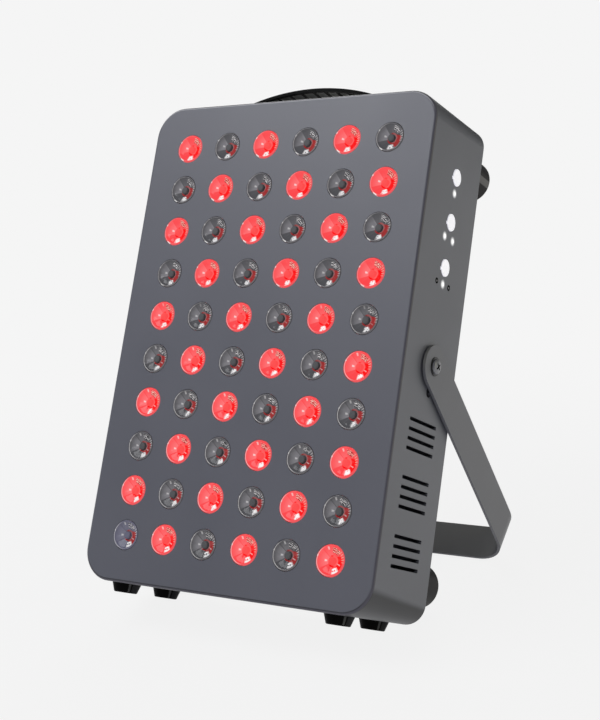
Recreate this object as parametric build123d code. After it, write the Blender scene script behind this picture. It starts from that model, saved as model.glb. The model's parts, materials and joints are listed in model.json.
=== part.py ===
from build123d import *
from math import atan2, cos, degrees, pi, radians, sin, sqrt
import os

# A light therapy panel on a swinging stand. Everything is drawn with the panel upright:
# X to the right, Y from the front face to the back, Z up, the middle of the front face at zero.
# The finished parts are then leaned back onto the stand and set on the floor.
# All sizes are in millimetres. Rounds that repeat, and small screw heads, are many-sided.

# Number of flats on a many-sided round
large_flat_count = 18
lens_flat_count = 12
small_flat_count = 8
hex_flat_count = 6

# Housing
body_width = 210.0
body_height = 318.0
body_depth = 71.0
corner_radius = 20.0
front_edge_cut = 1.2
wall = 2.0
flange_width = 8.0
flange_thickness = 1.5

# Rear cover, its grille and its screws
cover_thickness = 1.5
cover_clearance = 0.3
grille_centre_rise = 58.0
grille_slot_height = 3.4
grille_slot_pitch = 6.4
cover_screw_side_rise = 62.0
cover_screw_end_offset = 48.0
small_screw_radius = 3.0
small_screw_height = 1.6

# Grid of lenses and lamps
lens_columns = 6
lens_rows = 10
grid_side_margin = 30.0
grid_end_margin = 29.85
lens_radius = 9.4
lens_clearance = 0.1
lens_proud = 0.5
lens_length = 12.0
lens_seat_radius = 3.6
lamp_size = 6.0
lamp_height = 2.0

# Lamp board, standoffs and heat sink
board_side_gap = 5.0
board_thickness = 1.6
standoff_width = 6.0
standoff_columns = 2
standoff_rows = 4
sink_side_gap = 20.0
sink_end_gap = 19.0
sink_supply_gap = 3.4
sink_base = 3.0
sink_fin_thickness = 1.6
sink_fin_count = 14

# Vent slots in both sides
vent_group_count = 3
vent_slot_count = 4
vent_slot_pitch = 5.77
vent_slot_length = 36.0
vent_slot_width = 2.2
vent_first_drop = 40.3
vent_end_margin = 32.0

# Push buttons
button_setback = 2.2
button_end_margin = 73.0
button_pitch = 29.0
button_radius = 5.4
button_clearance = 0.35
button_proud = 0.4
button_lip_width = 1.4
button_lip_thickness = 1.0
button_lip_gap = 0.3
button_key_width = 1.4
button_key_reach = 1.0
button_travel = 1.5
button_names = ["power_button", "mode_button", "timer_button"]

# Indicator lights
indicator_counts = [1, 2, 3]
indicator_pitches = [0.0, 11.6, 8.6]
indicator_lead = 0.5
indicator_drop = 10.5
indicator_radius = 1.8
indicator_clearance = 0.1

# Control board and push switches
control_board_gap = 3.3
control_board_end_margin = 14.75
control_board_thickness = 1.6
control_post_width = 5.0
control_post_inset = 4.0
switch_size = 6.0
switch_height = 3.5
switch_gap = 0.2

# Side holes under the pivots
side_hole_radius = 2.9
side_hole_setback = 1.7
side_hole_drop = 21.2

# Stand and its pivots
pivot_drop = 5.4
stand_angle = 59.5
stand_reach = 179.4
strap_width = 26.2
strap_thickness = 1.8
strap_bend_radius = 20.0
spacer_thickness = 1.0
spacer_radius = 9.0
pivot_play = 0.1
pivot_screw_radius = 2.5
pivot_screw_clearance = 0.05
pivot_screw_length = 12.0
pivot_head_radius = 4.6
pivot_head_height = 1.9
washer_radius = 5.8
washer_thickness = 0.5
insert_width = 9.0
insert_length = 6.0

# Feet
foot_side_margin = 26.7
foot_edge_margin = 13.7
foot_top_radius = 9.2
foot_bottom_radius = 7.6
foot_height = 5.9
foot_recess_radius = 4.0
foot_recess_depth = 2.6

# Bumpers on the back
bumper_side_margin = 20.0
bumper_end_margin = 25.0
bumper_radius = 14.0
bumper_length = 28.5
bumper_recess_radius = 5.5
bumper_recess_depth = 20.0

# Handle
handle_rise = 16.5
handle_width = 27.6
handle_skin = 2.0
handle_rim_depth = 3.0
handle_rim_width = 2.4
handle_rib_depth = 0.8
handle_rib_thickness = 1.8
handle_rib_pitch = 9.0
handle_rib_count = 9
handle_end_margin = 21.0
handle_pad_length = 30.0
handle_pad_thickness = 4.5
handle_arch_inset = 15.6
handle_screw_inset = 10.0

# Fan
fan_size = 120.0
fan_thickness = 25.0
fan_corner_cut = 4.0
fan_wall = 2.0
fan_hub_radius = 20.0
fan_hub_plate = 3.0
fan_hub_gap = 0.5
fan_strut_count = 4
fan_strut_width = 4.0
fan_tip_gap = 1.5
fan_blade_count = 7
fan_blade_thickness = 1.4
fan_blade_pitch = 38.0
fan_blade_root_chord = 20.0
fan_blade_tip_chord = 27.0
fan_rotor_front_gap = 1.0
fan_shaft_radius = 1.5
fan_shaft_clearance = 0.05
fan_screw_inset = 7.5

# Power supply
supply_width = 130.0
supply_height = 60.0
supply_thickness = 32.0
supply_end_margin = 77.0

# Power inlet
inlet_end_margin = 27.0
inlet_width = 30.0
inlet_height = 23.0
inlet_flange = 2.0
inlet_body_width = 27.0
inlet_body_height = 20.0
inlet_body_depth = 20.0
inlet_cavity_width = 24.0
inlet_cavity_height = 16.4
inlet_cavity_depth = 16.0
inlet_corner_cut = 4.5
inlet_clearance = 0.3
inlet_pin_width = 2.0
inlet_pin_height = 4.0
inlet_pin_length = 11.0
inlet_pin_spread = 7.0
inlet_pin_offset = 2.0

# Reach of a cutter past the surface that it cuts
overrun = 1.0

# Sizes and places that follow
side_x = body_width / 2
inner_side_x = side_x - wall
top_z = body_height / 2
mid_y = body_depth / 2
cover_y = body_depth - cover_thickness

column_pitch = (body_width - 2 * grid_side_margin) / (lens_columns - 1)
row_pitch = (body_height - 2 * grid_end_margin) / (lens_rows - 1)
lens_back_y = lens_length - lens_proud
board_y = lens_back_y + lamp_height
sink_y = board_y + board_thickness
sink_width = body_width - 2 * sink_side_gap
sink_height = body_height - 2 * sink_end_gap
sink_fin_height = cover_y - supply_thickness - sink_supply_gap - sink_y - sink_base

vent_group_height = (vent_slot_count - 1) * vent_slot_pitch
vent_group_pitch = (top_z - vent_first_drop - vent_end_margin - vent_group_height) / (vent_group_count - 1)

button_depth = mid_y + button_setback
button_rise = top_z - button_end_margin
button_lip_x = inner_side_x - button_lip_gap
button_back_x = button_lip_x - button_lip_thickness
indicator_depth = button_depth - indicator_lead
switch_x = button_back_x - button_travel - switch_gap
control_board_x = switch_x - switch_height
control_board_width = 2 * (button_depth - sink_y - control_board_gap)
control_board_height = 2 * (button_pitch + control_board_end_margin) + indicator_drop

arm_inner_x = side_x + spacer_thickness + pivot_play
arm_outer_x = arm_inner_x + strap_thickness
foot_offset = side_x - foot_side_margin
foot_spread = body_depth - 2 * foot_edge_margin
bumper_offset = side_x - bumper_side_margin
bumper_rise = top_z - bumper_end_margin

handle_pad_end = side_x - handle_end_margin
handle_pad_start = handle_pad_end - handle_pad_length
handle_screw_offset = handle_pad_end - handle_screw_inset
handle_half_span = handle_pad_end - handle_arch_inset
handle_arch_radius = (handle_half_span**2 + handle_rise**2) / (2 * handle_rise)

fan_y = cover_y - fan_thickness
fan_bore_radius = fan_size / 2 - fan_wall
fan_screw_pitch = fan_size - 2 * fan_screw_inset
supply_drop = top_z - supply_end_margin
inlet_drop = top_z - inlet_end_margin


def facing_front(y):
    """A drawing plane seen from the front, with X to the right and Z up, at depth y."""
    return Plane(origin=(0, y, 0), x_dir=(1, 0, 0), z_dir=(0, -1, 0))


def facing_side(x):
    """A drawing plane seen from the right, with Y to the right and Z up, at place x."""
    return Plane(origin=(x, 0, 0), x_dir=(0, 1, 0), z_dir=(1, 0, 0))


def from_front(sketch, y, thickness):
    """Thicken a drawing from depth y towards the back."""
    return extrude(facing_front(y + thickness) * sketch, amount=thickness)


def from_side(sketch, x, thickness):
    """Thicken a drawing from place x towards the right."""
    return extrude(facing_side(x) * sketch, amount=thickness)


def group(pieces):
    """Separate solids kept together as one part."""
    solids = []
    for piece in pieces:
        solids.extend(piece.solids())
    return Compound(solids)


def both_sides(piece):
    """A piece and its mirror image across the middle of the panel."""
    return group([piece, mirror(piece, about=Plane.YZ)])


def many_sided(radius, flats):
    """A round drawn with flats, which touch a circle of this radius."""
    return RegularPolygon(radius, flats, major_radius=False)


def tapered(start_radius, end_radius, length, flats):
    """A many-sided taper that starts at zero height and grows upwards."""
    rings = []
    for radius, z in ((start_radius, 0), (end_radius, length)):
        corner = radius / cos(pi / flats)
        turns = [2 * pi * number / flats for number in range(flats)]
        rings.append([Vector(corner * cos(turn), corner * sin(turn), z) for turn in turns])
    faces = [Face(Wire.make_polygon(ring)) for ring in rings]
    start, end = rings
    for number in range(flats):
        after = (number + 1) % flats
        side = [start[number], start[after], end[after], end[number]]
        faces.append(Face(Wire.make_polygon(side)))
    return Solid(Shell(faces))


def outline(inset):
    """The housing's rounded outline, drawn in by an inset."""
    width = body_width - 2 * inset
    height = body_height - 2 * inset
    return RectangleRounded(width, height, corner_radius - inset)


def lens_places():
    """Each place of the grid as x, z and whether its lens is red."""
    places = []
    for row in range(lens_rows):
        for column in range(lens_columns):
            x = (column - (lens_columns - 1) / 2) * column_pitch
            z = ((lens_rows - 1) / 2 - row) * row_pitch
            places.append((x, z, (row + column) % 2 == 0))
    return places


def vent_rises():
    """The height of each vent slot."""
    rises = []
    for cluster in range(vent_group_count):
        for slot in range(vent_slot_count):
            rises.append(-vent_first_drop - cluster * vent_group_pitch - slot * vent_slot_pitch)
    return rises


def button_rises():
    """The height of each push button, from the top one down."""
    return [button_rise + button_pitch, button_rise, button_rise - button_pitch]


def indicator_places():
    """Each indicator's depth and height, row by row."""
    places = []
    for rise, count, pitch in zip(button_rises(), indicator_counts, indicator_pitches):
        for number in range(count):
            y = indicator_depth + (number - (count - 1) / 2) * pitch
            places.append((y, rise - indicator_drop))
    return places


# Housing: one drawn metal tray with an inward flange for the rear cover


def button_outline(radius, key_width, key_reach):
    """A round with a small key on the side that faces the front."""
    key = Pos(-(radius + key_reach) / 2, 0) * Rectangle(radius + key_reach, key_width)
    return many_sided(radius, large_flat_count) + key


def pivot_screw_hole():
    return many_sided(pivot_screw_radius + pivot_screw_clearance, small_flat_count)


def housing():
    shell = from_front(outline(0), 0, body_depth)
    front_face = shell.faces().sort_by(Axis.Y)[0]
    shell = chamfer(front_face.edges(), front_edge_cut)
    flange_y = cover_y - flange_thickness
    shell -= from_front(outline(wall), wall, flange_y - wall)
    window = Rectangle(body_width - 2 * (wall + flange_width), body_height - 2 * (wall + flange_width))
    shell -= from_front(window, wall, body_depth)
    shell -= from_front(outline(wall), cover_y, body_depth)

    holes = Sketch() + [
        Pos(x, z) * many_sided(lens_radius + lens_clearance, lens_flat_count) for x, z, red in lens_places()
    ]
    shell -= from_front(holes, -overrun, wall + 2 * overrun)

    slot = Rectangle(vent_slot_length, vent_slot_width)
    both_walls = Sketch() + [Pos(mid_y, rise) * slot for rise in vent_rises()]
    both_walls += Pos(mid_y, -pivot_drop) * pivot_screw_hole()
    both_walls += Pos(mid_y + side_hole_setback, -side_hole_drop) * Circle(side_hole_radius)
    shell -= from_side(both_walls, -side_x - overrun, body_width + 2 * overrun)

    opening = button_outline(
        button_radius + button_clearance, button_key_width + 2 * button_clearance, button_key_reach
    )
    light_hole = many_sided(indicator_radius + indicator_clearance, small_flat_count)
    controls = Sketch() + [Pos(button_depth, rise) * opening for rise in button_rises()]
    controls += [Pos(y, z) * light_hole for y, z in indicator_places()]
    shell -= from_side(controls, inner_side_x - overrun, wall + 2 * overrun)
    return shell


# Lenses, lamps and their board


def lens():
    """One moulded lens, which narrows from its front to its lamp."""
    towards_back = Plane(origin=(0, -lens_proud, 0), x_dir=(1, 0, 0), z_dir=(0, 1, 0))
    return towards_back.location * tapered(lens_radius, lens_seat_radius, lens_length, lens_flat_count)


def lenses(red):
    piece = lens()
    return group([Pos(x, 0, z) * piece for x, z, is_red in lens_places() if is_red == red])


def lamps(red):
    chip = from_front(Rectangle(lamp_size, lamp_size), lens_back_y, lamp_height)
    return group([Pos(x, 0, z) * chip for x, z, is_red in lens_places() if is_red == red])


def lamp_board():
    inset = wall + board_side_gap
    board = Rectangle(body_width - 2 * inset, body_height - 2 * inset)
    board = chamfer(board.vertices(), corner_radius - inset)
    return from_front(board, board_y, board_thickness)


def board_standoffs():
    """Six-sided posts between the front wall and the board, in the gaps of the lens grid."""
    post = from_front(many_sided(standoff_width / 2, hex_flat_count), wall, board_y - wall)
    reach_x = standoff_columns * column_pitch
    reach_z = standoff_rows * row_pitch
    return group([Pos(x, 0, z) * post for x in (-reach_x, reach_x) for z in (-reach_z, 0, reach_z)])


def heat_sink():
    """An extruded comb: a base on the board's back and upright fins."""
    profile = Pos(0, sink_base / 2) * Rectangle(sink_width, sink_base)
    fin_pitch = (sink_width - sink_fin_thickness) / (sink_fin_count - 1)
    depth = sink_base + sink_fin_height
    for number in range(sink_fin_count):
        x = (number - (sink_fin_count - 1) / 2) * fin_pitch
        profile += Pos(x, depth / 2) * Rectangle(sink_fin_thickness, depth)
    bar = extrude(profile, amount=sink_height)
    return Pos(0, sink_y, -sink_height / 2) * bar


# Push buttons, indicator lights and the control board behind them


def button(rise):
    """A round cap with a key, and a lip that holds it behind the wall."""
    cap = button_outline(button_radius, button_key_width, button_key_reach)
    head = from_side(cap, button_lip_x, side_x + button_proud - button_lip_x)
    lip = many_sided(button_radius + button_lip_width, large_flat_count)
    head += from_side(lip, button_back_x, button_lip_thickness)
    return Pos(0, button_depth, rise) * head


def switches():
    """The push switches on the control board, one behind each button."""
    body = from_side(Rectangle(switch_size, switch_size), control_board_x, switch_height)
    return group([Pos(0, button_depth, rise) * body for rise in button_rises()])


def indicator_lights():
    """Clear pins that lead the light from the control board to the wall's outer face."""
    length = side_x - control_board_x
    pin = from_side(many_sided(indicator_radius, small_flat_count), control_board_x, length)
    return group([Pos(0, y, z) * pin for y, z in indicator_places()])


def control_board():
    board = Rectangle(control_board_width, control_board_height)
    return Pos(0, button_depth, button_rise - indicator_drop / 2) * from_side(
        board, control_board_x - control_board_thickness, control_board_thickness
    )


def control_posts():
    """Six-sided posts between the side wall and the control board's corners."""
    reach_y = control_board_width / 2 - control_post_inset
    reach_z = control_board_height / 2 - control_post_inset
    middle_z = button_rise - indicator_drop / 2
    hexagon = many_sided(control_post_width / 2, hex_flat_count)
    post = from_side(hexagon, control_board_x, inner_side_x - control_board_x)
    corners = [(y, z) for y in (-reach_y, reach_y) for z in (-reach_z, reach_z)]
    return group([Pos(0, button_depth + y, middle_z + z) * post for y, z in corners])


# Rear cover and what it carries


def grille_rises():
    """The slots' heights above the grille's middle, as many as the fan's bore has room for."""
    room = fan_bore_radius - grille_slot_height
    half_count = int(room / grille_slot_pitch)
    return [number * grille_slot_pitch for number in range(-half_count, half_count + 1)]


def rear_cover():
    cover = from_front(outline(wall + cover_clearance), cover_y, cover_thickness)
    slots = Sketch()
    for rise in grille_rises():
        widest = abs(rise) + grille_slot_height / 2
        length = 2 * sqrt(fan_bore_radius**2 - widest**2)
        slots += Pos(0, grille_centre_rise + rise) * Rectangle(length, grille_slot_height)
    cover -= from_front(slots, cover_y - overrun, cover_thickness + 2 * overrun)
    socket = Rectangle(inlet_body_width + 2 * inlet_clearance, inlet_body_height + 2 * inlet_clearance)
    cover -= from_front(Pos(0, -inlet_drop) * socket, cover_y - overrun, cover_thickness + 2 * overrun)
    return cover


def small_screw():
    """A low screw head whose underside lies at zero depth."""
    return from_front(many_sided(small_screw_radius, small_flat_count), 0, small_screw_height)


def cover_screws():
    """Heads of the screws that hold the cover to the housing's flange."""
    flange_middle = wall + flange_width / 2
    side = side_x - flange_middle
    end = top_z - flange_middle
    places = [(x, z) for x in (-side, side) for z in (-cover_screw_side_rise, cover_screw_side_rise)]
    places += [(x, z) for x in (-cover_screw_end_offset, cover_screw_end_offset) for z in (-end, end)]
    return group([Pos(x, body_depth, z) * small_screw() for x, z in places])


def fan_screws():
    reach = fan_screw_pitch / 2
    places = [(x, z) for x in (-reach, reach) for z in (-reach, reach)]
    return group([Pos(x, body_depth, grille_centre_rise + z) * small_screw() for x, z in places])


def fan_frame():
    """A square frame with a round bore, and a hub plate on struts behind the blades."""
    square = Rectangle(fan_size, fan_size)
    square = chamfer(square.vertices(), fan_corner_cut) - many_sided(fan_bore_radius, 2 * large_flat_count)
    frame = from_front(square, fan_y, fan_thickness)
    spokes = many_sided(fan_hub_radius, large_flat_count)
    for number in range(fan_strut_count):
        turn = 360 * (number + 0.5) / fan_strut_count
        spokes += Rot(0, 0, turn) * Pos(fan_bore_radius / 2, 0) * Rectangle(
            fan_bore_radius + fan_corner_cut, fan_strut_width
        )
    spokes -= Circle(fan_shaft_radius + fan_shaft_clearance)
    frame += from_front(spokes, cover_y - fan_hub_plate, fan_hub_plate)
    return Pos(0, 0, grille_centre_rise) * frame


def fan_rotor():
    """A round hub on a shaft, with pitched blades that widen towards their tips."""
    hub_front = fan_y + fan_rotor_front_gap
    hub_back = cover_y - fan_hub_plate - fan_hub_gap
    rotor = from_front(many_sided(fan_hub_radius, large_flat_count), hub_front, hub_back - hub_front)
    rotor += from_front(Circle(fan_shaft_radius), hub_back, fan_hub_gap + fan_hub_plate)
    root = fan_hub_radius - fan_blade_thickness
    half_root = fan_blade_root_chord / 2
    half_tip = fan_blade_tip_chord / 2
    tip = sqrt((fan_bore_radius - fan_tip_gap) ** 2 - half_tip**2)
    sheet = Polygon((-half_root, root), (-half_tip, tip), (half_tip, tip), (half_root, root), align=None)
    blade = Rot(0, 0, fan_blade_pitch) * from_front(sheet, -fan_blade_thickness / 2, fan_blade_thickness)
    for number in range(fan_blade_count):
        rotor += Pos(0, (hub_front + hub_back) / 2, 0) * Rot(0, 360 * number / fan_blade_count, 0) * blade
    return Pos(0, 0, grille_centre_rise) * rotor


def power_supply():
    box = from_front(Rectangle(supply_width, supply_height), cover_y - supply_thickness, supply_thickness)
    return Pos(0, 0, -supply_drop) * box


def power_inlet():
    """A three-pin appliance inlet: a flanged block with a cavity that has two cut corners."""
    block = from_front(Rectangle(inlet_width, inlet_height), body_depth, inlet_flange)
    body_front = body_depth - inlet_body_depth
    block += from_front(Rectangle(inlet_body_width, inlet_body_height), body_front, inlet_body_depth)
    cavity = Rectangle(inlet_cavity_width, inlet_cavity_height)
    cavity = chamfer(cavity.vertices().group_by(Axis.Y)[-1], inlet_corner_cut)
    floor_y = body_depth + inlet_flange - inlet_cavity_depth
    block -= from_front(cavity, floor_y, inlet_cavity_depth + overrun)
    pin = from_front(Rectangle(inlet_pin_width, inlet_pin_height), floor_y, inlet_pin_length)
    block += Pos(0, 0, inlet_pin_offset) * pin
    for x in (-inlet_pin_spread, inlet_pin_spread):
        block += Pos(x, 0, -inlet_pin_offset) * pin
    return Pos(0, 0, -inlet_drop) * block


# Feet and bumpers


def foot_places():
    reach_y = foot_spread / 2
    return [(x, mid_y + y) for x in (-foot_offset, foot_offset) for y in (-reach_y, reach_y)]


def feet():
    """Tapered rubber feet with a recess for their screw."""
    foot = tapered(foot_bottom_radius, foot_top_radius, foot_height, large_flat_count)
    foot -= extrude(many_sided(foot_recess_radius, small_flat_count), amount=foot_recess_depth)
    return group([Pos(x, y, -top_z - foot_height) * foot for x, y in foot_places()])


def foot_screws():
    head = extrude(many_sided(small_screw_radius, small_flat_count), amount=-small_screw_height)
    floor_z = -top_z - foot_height + foot_recess_depth
    return group([Pos(x, y, floor_z) * head for x, y in foot_places()])


def bumper_places():
    return [(x, z) for x in (-bumper_offset, bumper_offset) for z in (-bumper_rise, bumper_rise)]


def bumpers():
    """Round rubber posts with a deep recess for their screw."""
    post = from_front(many_sided(bumper_radius, large_flat_count), body_depth, bumper_length)
    floor_y = body_depth + bumper_length - bumper_recess_depth
    recess = many_sided(bumper_recess_radius, small_flat_count)
    post -= from_front(recess, floor_y, bumper_recess_depth + overrun)
    return group([Pos(x, 0, z) * post for x, z in bumper_places()])


def bumper_screws():
    floor_y = body_depth + bumper_length - bumper_recess_depth
    return group([Pos(x, floor_y, z) * small_screw() for x, z in bumper_places()])


# Handle


def arch_band(outer_radius, inner_radius, width):
    """A band of the handle's arch between two radii, cut off at the top of the housing."""
    centre_z = top_z + handle_rise - handle_arch_radius
    ring = Pos(0, centre_z) * (Circle(outer_radius) - Circle(inner_radius))
    above = Pos(0, top_z + handle_rise) * Rectangle(2 * handle_pad_end, 2 * handle_rise)
    return from_front(ring & above, mid_y - width / 2, width)


def handle():
    """A moulded arch: a skin with a rim along each edge, cross ribs under it and a pad at each end."""
    skin_radius = handle_arch_radius - handle_skin
    rim_radius = handle_arch_radius - handle_rim_depth
    body = arch_band(handle_arch_radius, rim_radius, handle_width)
    body -= arch_band(skin_radius, rim_radius - overrun, handle_width - 2 * handle_rim_width)
    centre_z = top_z + handle_rise - handle_arch_radius
    for number in range(handle_rib_count):
        x = (number - (handle_rib_count - 1) / 2) * handle_rib_pitch
        drop = centre_z + sqrt(skin_radius**2 - x**2) - handle_rib_depth
        height = handle_rib_depth + handle_skin / 2
        bar = Pos(x, drop + height / 2) * Rectangle(handle_rib_thickness, height)
        inner_width = handle_width - handle_rim_width
        body += from_front(bar, mid_y - inner_width / 2, inner_width)
    pad_middle = (handle_pad_start + handle_pad_end) / 2
    pad = SlotOverall(handle_pad_end - handle_pad_start + handle_width / 2, handle_width)
    pad = Pos(pad_middle - handle_width / 4, mid_y) * pad
    pad -= Pos(0, mid_y) * Rectangle(2 * handle_pad_start, handle_width)
    for end in (pad, mirror(pad, about=Plane.YZ)):
        body += Pos(0, 0, top_z) * extrude(end, amount=handle_pad_thickness)
    return body


def handle_screws():
    head = extrude(many_sided(small_screw_radius, small_flat_count), amount=small_screw_height)
    seat_z = top_z + handle_pad_thickness
    return group([Pos(x, mid_y, seat_z) * head for x in (-handle_screw_offset, handle_screw_offset)])


# Stand and its pivots


def stand():
    """A strap bent to a U, drawn hanging straight down from its pivots and then swung back."""
    above = strap_width / 2
    outer = Rectangle(2 * arm_outer_x, stand_reach + above, align=(Align.CENTER, Align.MIN))
    outer = fillet(outer.vertices().group_by(Axis.Y)[0], strap_bend_radius + strap_thickness)
    inner = Rectangle(2 * arm_inner_x, stand_reach + above, align=(Align.CENTER, Align.MIN))
    inner = fillet(inner.vertices().group_by(Axis.Y)[0], strap_bend_radius)
    bent = Pos(0, -stand_reach) * (outer - Pos(0, strap_thickness) * inner)
    strap = from_front(bent, -strap_width / 2, strap_width)
    side = Circle(strap_width / 2) + Pos(0, -stand_reach / 2) * Rectangle(strap_width, stand_reach)
    side -= Circle(pivot_screw_radius + pivot_screw_clearance)
    strap &= from_side(side, -arm_outer_x - overrun, 2 * (arm_outer_x + overrun))
    return Pos(0, mid_y, -pivot_drop) * Rot(stand_angle, 0, 0) * strap


def pivot_screws():
    """Cross-head screws: a round head, and a shank that the arm turns on."""
    head_x = arm_outer_x + pivot_play + washer_thickness
    head = from_side(many_sided(pivot_head_radius, large_flat_count), head_x, pivot_head_height)
    shank = from_side(Circle(pivot_screw_radius), head_x - pivot_screw_length, pivot_screw_length)
    return both_sides(Pos(0, mid_y, -pivot_drop) * (head + shank))


def pivot_ring(outer, x, thickness):
    """A ring around the pivot screw, on both sides."""
    ring = from_side(outer - pivot_screw_hole(), x, thickness)
    return both_sides(Pos(0, mid_y, -pivot_drop) * ring)


def pivot_washers():
    disc = many_sided(washer_radius, large_flat_count)
    return pivot_ring(disc, arm_outer_x + pivot_play, washer_thickness)


def pivot_spacers():
    return pivot_ring(many_sided(spacer_radius, large_flat_count), side_x, spacer_thickness)


def pivot_inserts():
    """Six-sided threaded inserts behind the side walls."""
    hexagon = many_sided(insert_width / 2, hex_flat_count)
    return pivot_ring(hexagon, inner_side_x - insert_length, insert_length)


# The lean that puts the rear feet and the stand's bar on one floor


def lean_angle():
    foot_y = mid_y + foot_spread / 2 + foot_bottom_radius
    foot_z = -top_z - foot_height
    turn = radians(stand_angle)
    bar_y = mid_y + stand_reach * sin(turn) - strap_width / 2 * cos(turn)
    bar_z = -pivot_drop - stand_reach * cos(turn) - strap_width / 2 * sin(turn)
    return degrees(atan2(bar_z - foot_z, bar_y - foot_y))


def all_parts():
    parts = {
        "housing": housing(),
        "lenses_red": lenses(True),
        "lenses_clear": lenses(False),
        "lamps_red": lamps(True),
        "lamps_infrared": lamps(False),
        "lamp_board": lamp_board(),
        "board_standoffs": board_standoffs(),
        "heat_sink": heat_sink(),
        "push_switches": switches(),
        "indicator_lights": indicator_lights(),
        "control_board": control_board(),
        "control_posts": control_posts(),
        "rear_cover": rear_cover(),
        "cover_screws": cover_screws(),
        "fan_frame": fan_frame(),
        "fan_rotor": fan_rotor(),
        "fan_screws": fan_screws(),
        "power_supply": power_supply(),
        "power_inlet": power_inlet(),
        "feet": feet(),
        "foot_screws": foot_screws(),
        "rear_bumpers": bumpers(),
        "bumper_screws": bumper_screws(),
        "handle": handle(),
        "handle_screws": handle_screws(),
        "stand": stand(),
        "pivot_screws": pivot_screws(),
        "pivot_washers": pivot_washers(),
        "pivot_spacers": pivot_spacers(),
        "pivot_inserts": pivot_inserts(),
    }
    for name, rise in zip(button_names, button_rises()):
        parts[name] = button(rise)
    return parts


def stand_on_floor(parts):
    """Lean every part back, then put the middle of the floor under the object at zero."""
    leaned = {name: Rot(-lean_angle(), 0, 0) * part for name, part in parts.items()}
    box = group(leaned.values()).bounding_box()
    shift = Pos(0, -box.center().Y, -box.min.Z)
    place = shift * Rot(-lean_angle(), 0, 0)
    return {name: place * part for name, part in parts.items()}, place


finished, place = stand_on_floor(all_parts())
os.makedirs("parts", exist_ok=True)
for name, part in finished.items():
    export_step(part, "parts/" + name + ".step")

print("lean", lean_angle())
print("stand pivot", (place * Pos(0, mid_y, -pivot_drop)).position)
print("fan centre", (place * Pos(0, cover_y, grille_centre_rise)).position)
print("panel origin", place.position)
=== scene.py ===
import bmesh
import bpy
import json
from math import asin, atan2, cos, pi, radians, sin, sqrt
from mathutils import Matrix, Vector


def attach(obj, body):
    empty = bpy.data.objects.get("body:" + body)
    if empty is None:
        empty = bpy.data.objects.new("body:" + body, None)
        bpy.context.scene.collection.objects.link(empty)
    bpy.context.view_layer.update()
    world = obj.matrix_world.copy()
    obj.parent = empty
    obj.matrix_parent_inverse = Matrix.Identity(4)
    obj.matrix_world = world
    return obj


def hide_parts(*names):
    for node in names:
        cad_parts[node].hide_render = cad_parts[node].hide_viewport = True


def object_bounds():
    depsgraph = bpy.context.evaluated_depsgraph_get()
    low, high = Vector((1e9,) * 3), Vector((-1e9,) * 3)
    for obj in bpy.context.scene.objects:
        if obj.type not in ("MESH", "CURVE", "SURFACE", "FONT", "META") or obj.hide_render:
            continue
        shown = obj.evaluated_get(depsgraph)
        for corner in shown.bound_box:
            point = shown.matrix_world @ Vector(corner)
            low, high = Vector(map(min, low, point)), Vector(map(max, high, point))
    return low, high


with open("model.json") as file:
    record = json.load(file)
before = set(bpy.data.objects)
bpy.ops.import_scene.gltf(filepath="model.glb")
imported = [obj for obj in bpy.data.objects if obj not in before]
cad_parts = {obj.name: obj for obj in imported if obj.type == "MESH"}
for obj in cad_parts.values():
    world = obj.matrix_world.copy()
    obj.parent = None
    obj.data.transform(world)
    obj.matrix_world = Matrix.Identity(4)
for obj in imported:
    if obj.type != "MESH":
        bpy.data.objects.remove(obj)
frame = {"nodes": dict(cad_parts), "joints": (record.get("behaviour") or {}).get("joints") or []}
solid_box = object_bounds()

# The panel as it stands: leaned back, resting on its rear feet and on the bar of its stand.
# Its pieces are drawn upright in millimetres, X to the right, Y from the front face to the back,
# Z up from the middle of the front face, and are then leaned and moved into place.
MM = 0.001
PIVOT = Vector((0, 35.5, -5.4))

joints = {joint["name"]: joint for joint in frame["joints"]}
fan_axis = Vector(joints["fan_spin"]["axis"])
lean = Matrix.Rotation(atan2(fan_axis.z, fan_axis.y), 4, "X")
pivot_place = Vector(joints["stand_hinge"]["pos_m"])
panel = Matrix.Translation(pivot_place) @ lean @ Matrix.Scale(MM, 4) @ Matrix.Translation(-PIVOT)
to_panel = panel.inverted()
RIGHT, BACK, UP = (lean.to_3x3() @ axis for axis in Matrix.Identity(3))


# Housing: one deep-drawn steel tray, front and sides in one, with a soft front edge and an inward
# flange at the back. Lens holes, vent slots and control holes are punched; the finish is satin
# grey powder coat, slightly bluish.
BODY_WIDTH, BODY_HEIGHT, BODY_DEPTH = 210.0, 318.0, 71.0
CORNER_RADIUS, BACK_CORNER_RADIUS = 20.0, 13.0
CORNER_STEPS = 14
TIP = 0.05        # the least radius of a bend, and of the middle of a turned face
WALL = 2.0
FRONT_EDGE = 2.05
BACK_EDGE = 0.5
FLANGE_WIDTH, FLANGE_THICKNESS = 8.0, 1.5
COVER_THICKNESS = 1.5
LENS_COLUMNS, LENS_ROWS = 6, 10
GRID_SIDE_MARGIN, GRID_END_MARGIN = 30.0, 29.85
LENS_HOLE_RADIUS = 9.65
VENT_LENGTH, VENT_WIDTH, VENT_CORNER, VENT_PITCH = 36.0, 2.2, 0.7, 5.77
VENT_GROUPS, VENTS_IN_GROUP, VENT_GROUP_PITCH, VENT_FIRST_DROP = 3, 4, 34.69, 40.3
SIDE_HOLE_RADIUS, SIDE_HOLE_Y, SIDE_HOLE_Z = 2.9, 37.2, -21.2
BUTTON_Y, BUTTON_Z, BUTTON_PITCH = 37.7, 86.0, 29.0
BUTTON_RADIUS, BUTTON_GAP = 5.4, 0.35
KEY_WIDTH, KEY_REACH, KEY_DROP = 1.4, 1.0, radians(16)
LIGHT_COUNTS, LIGHT_PITCHES = (1, 2, 3), (0.0, 11.6, 8.6)
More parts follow.
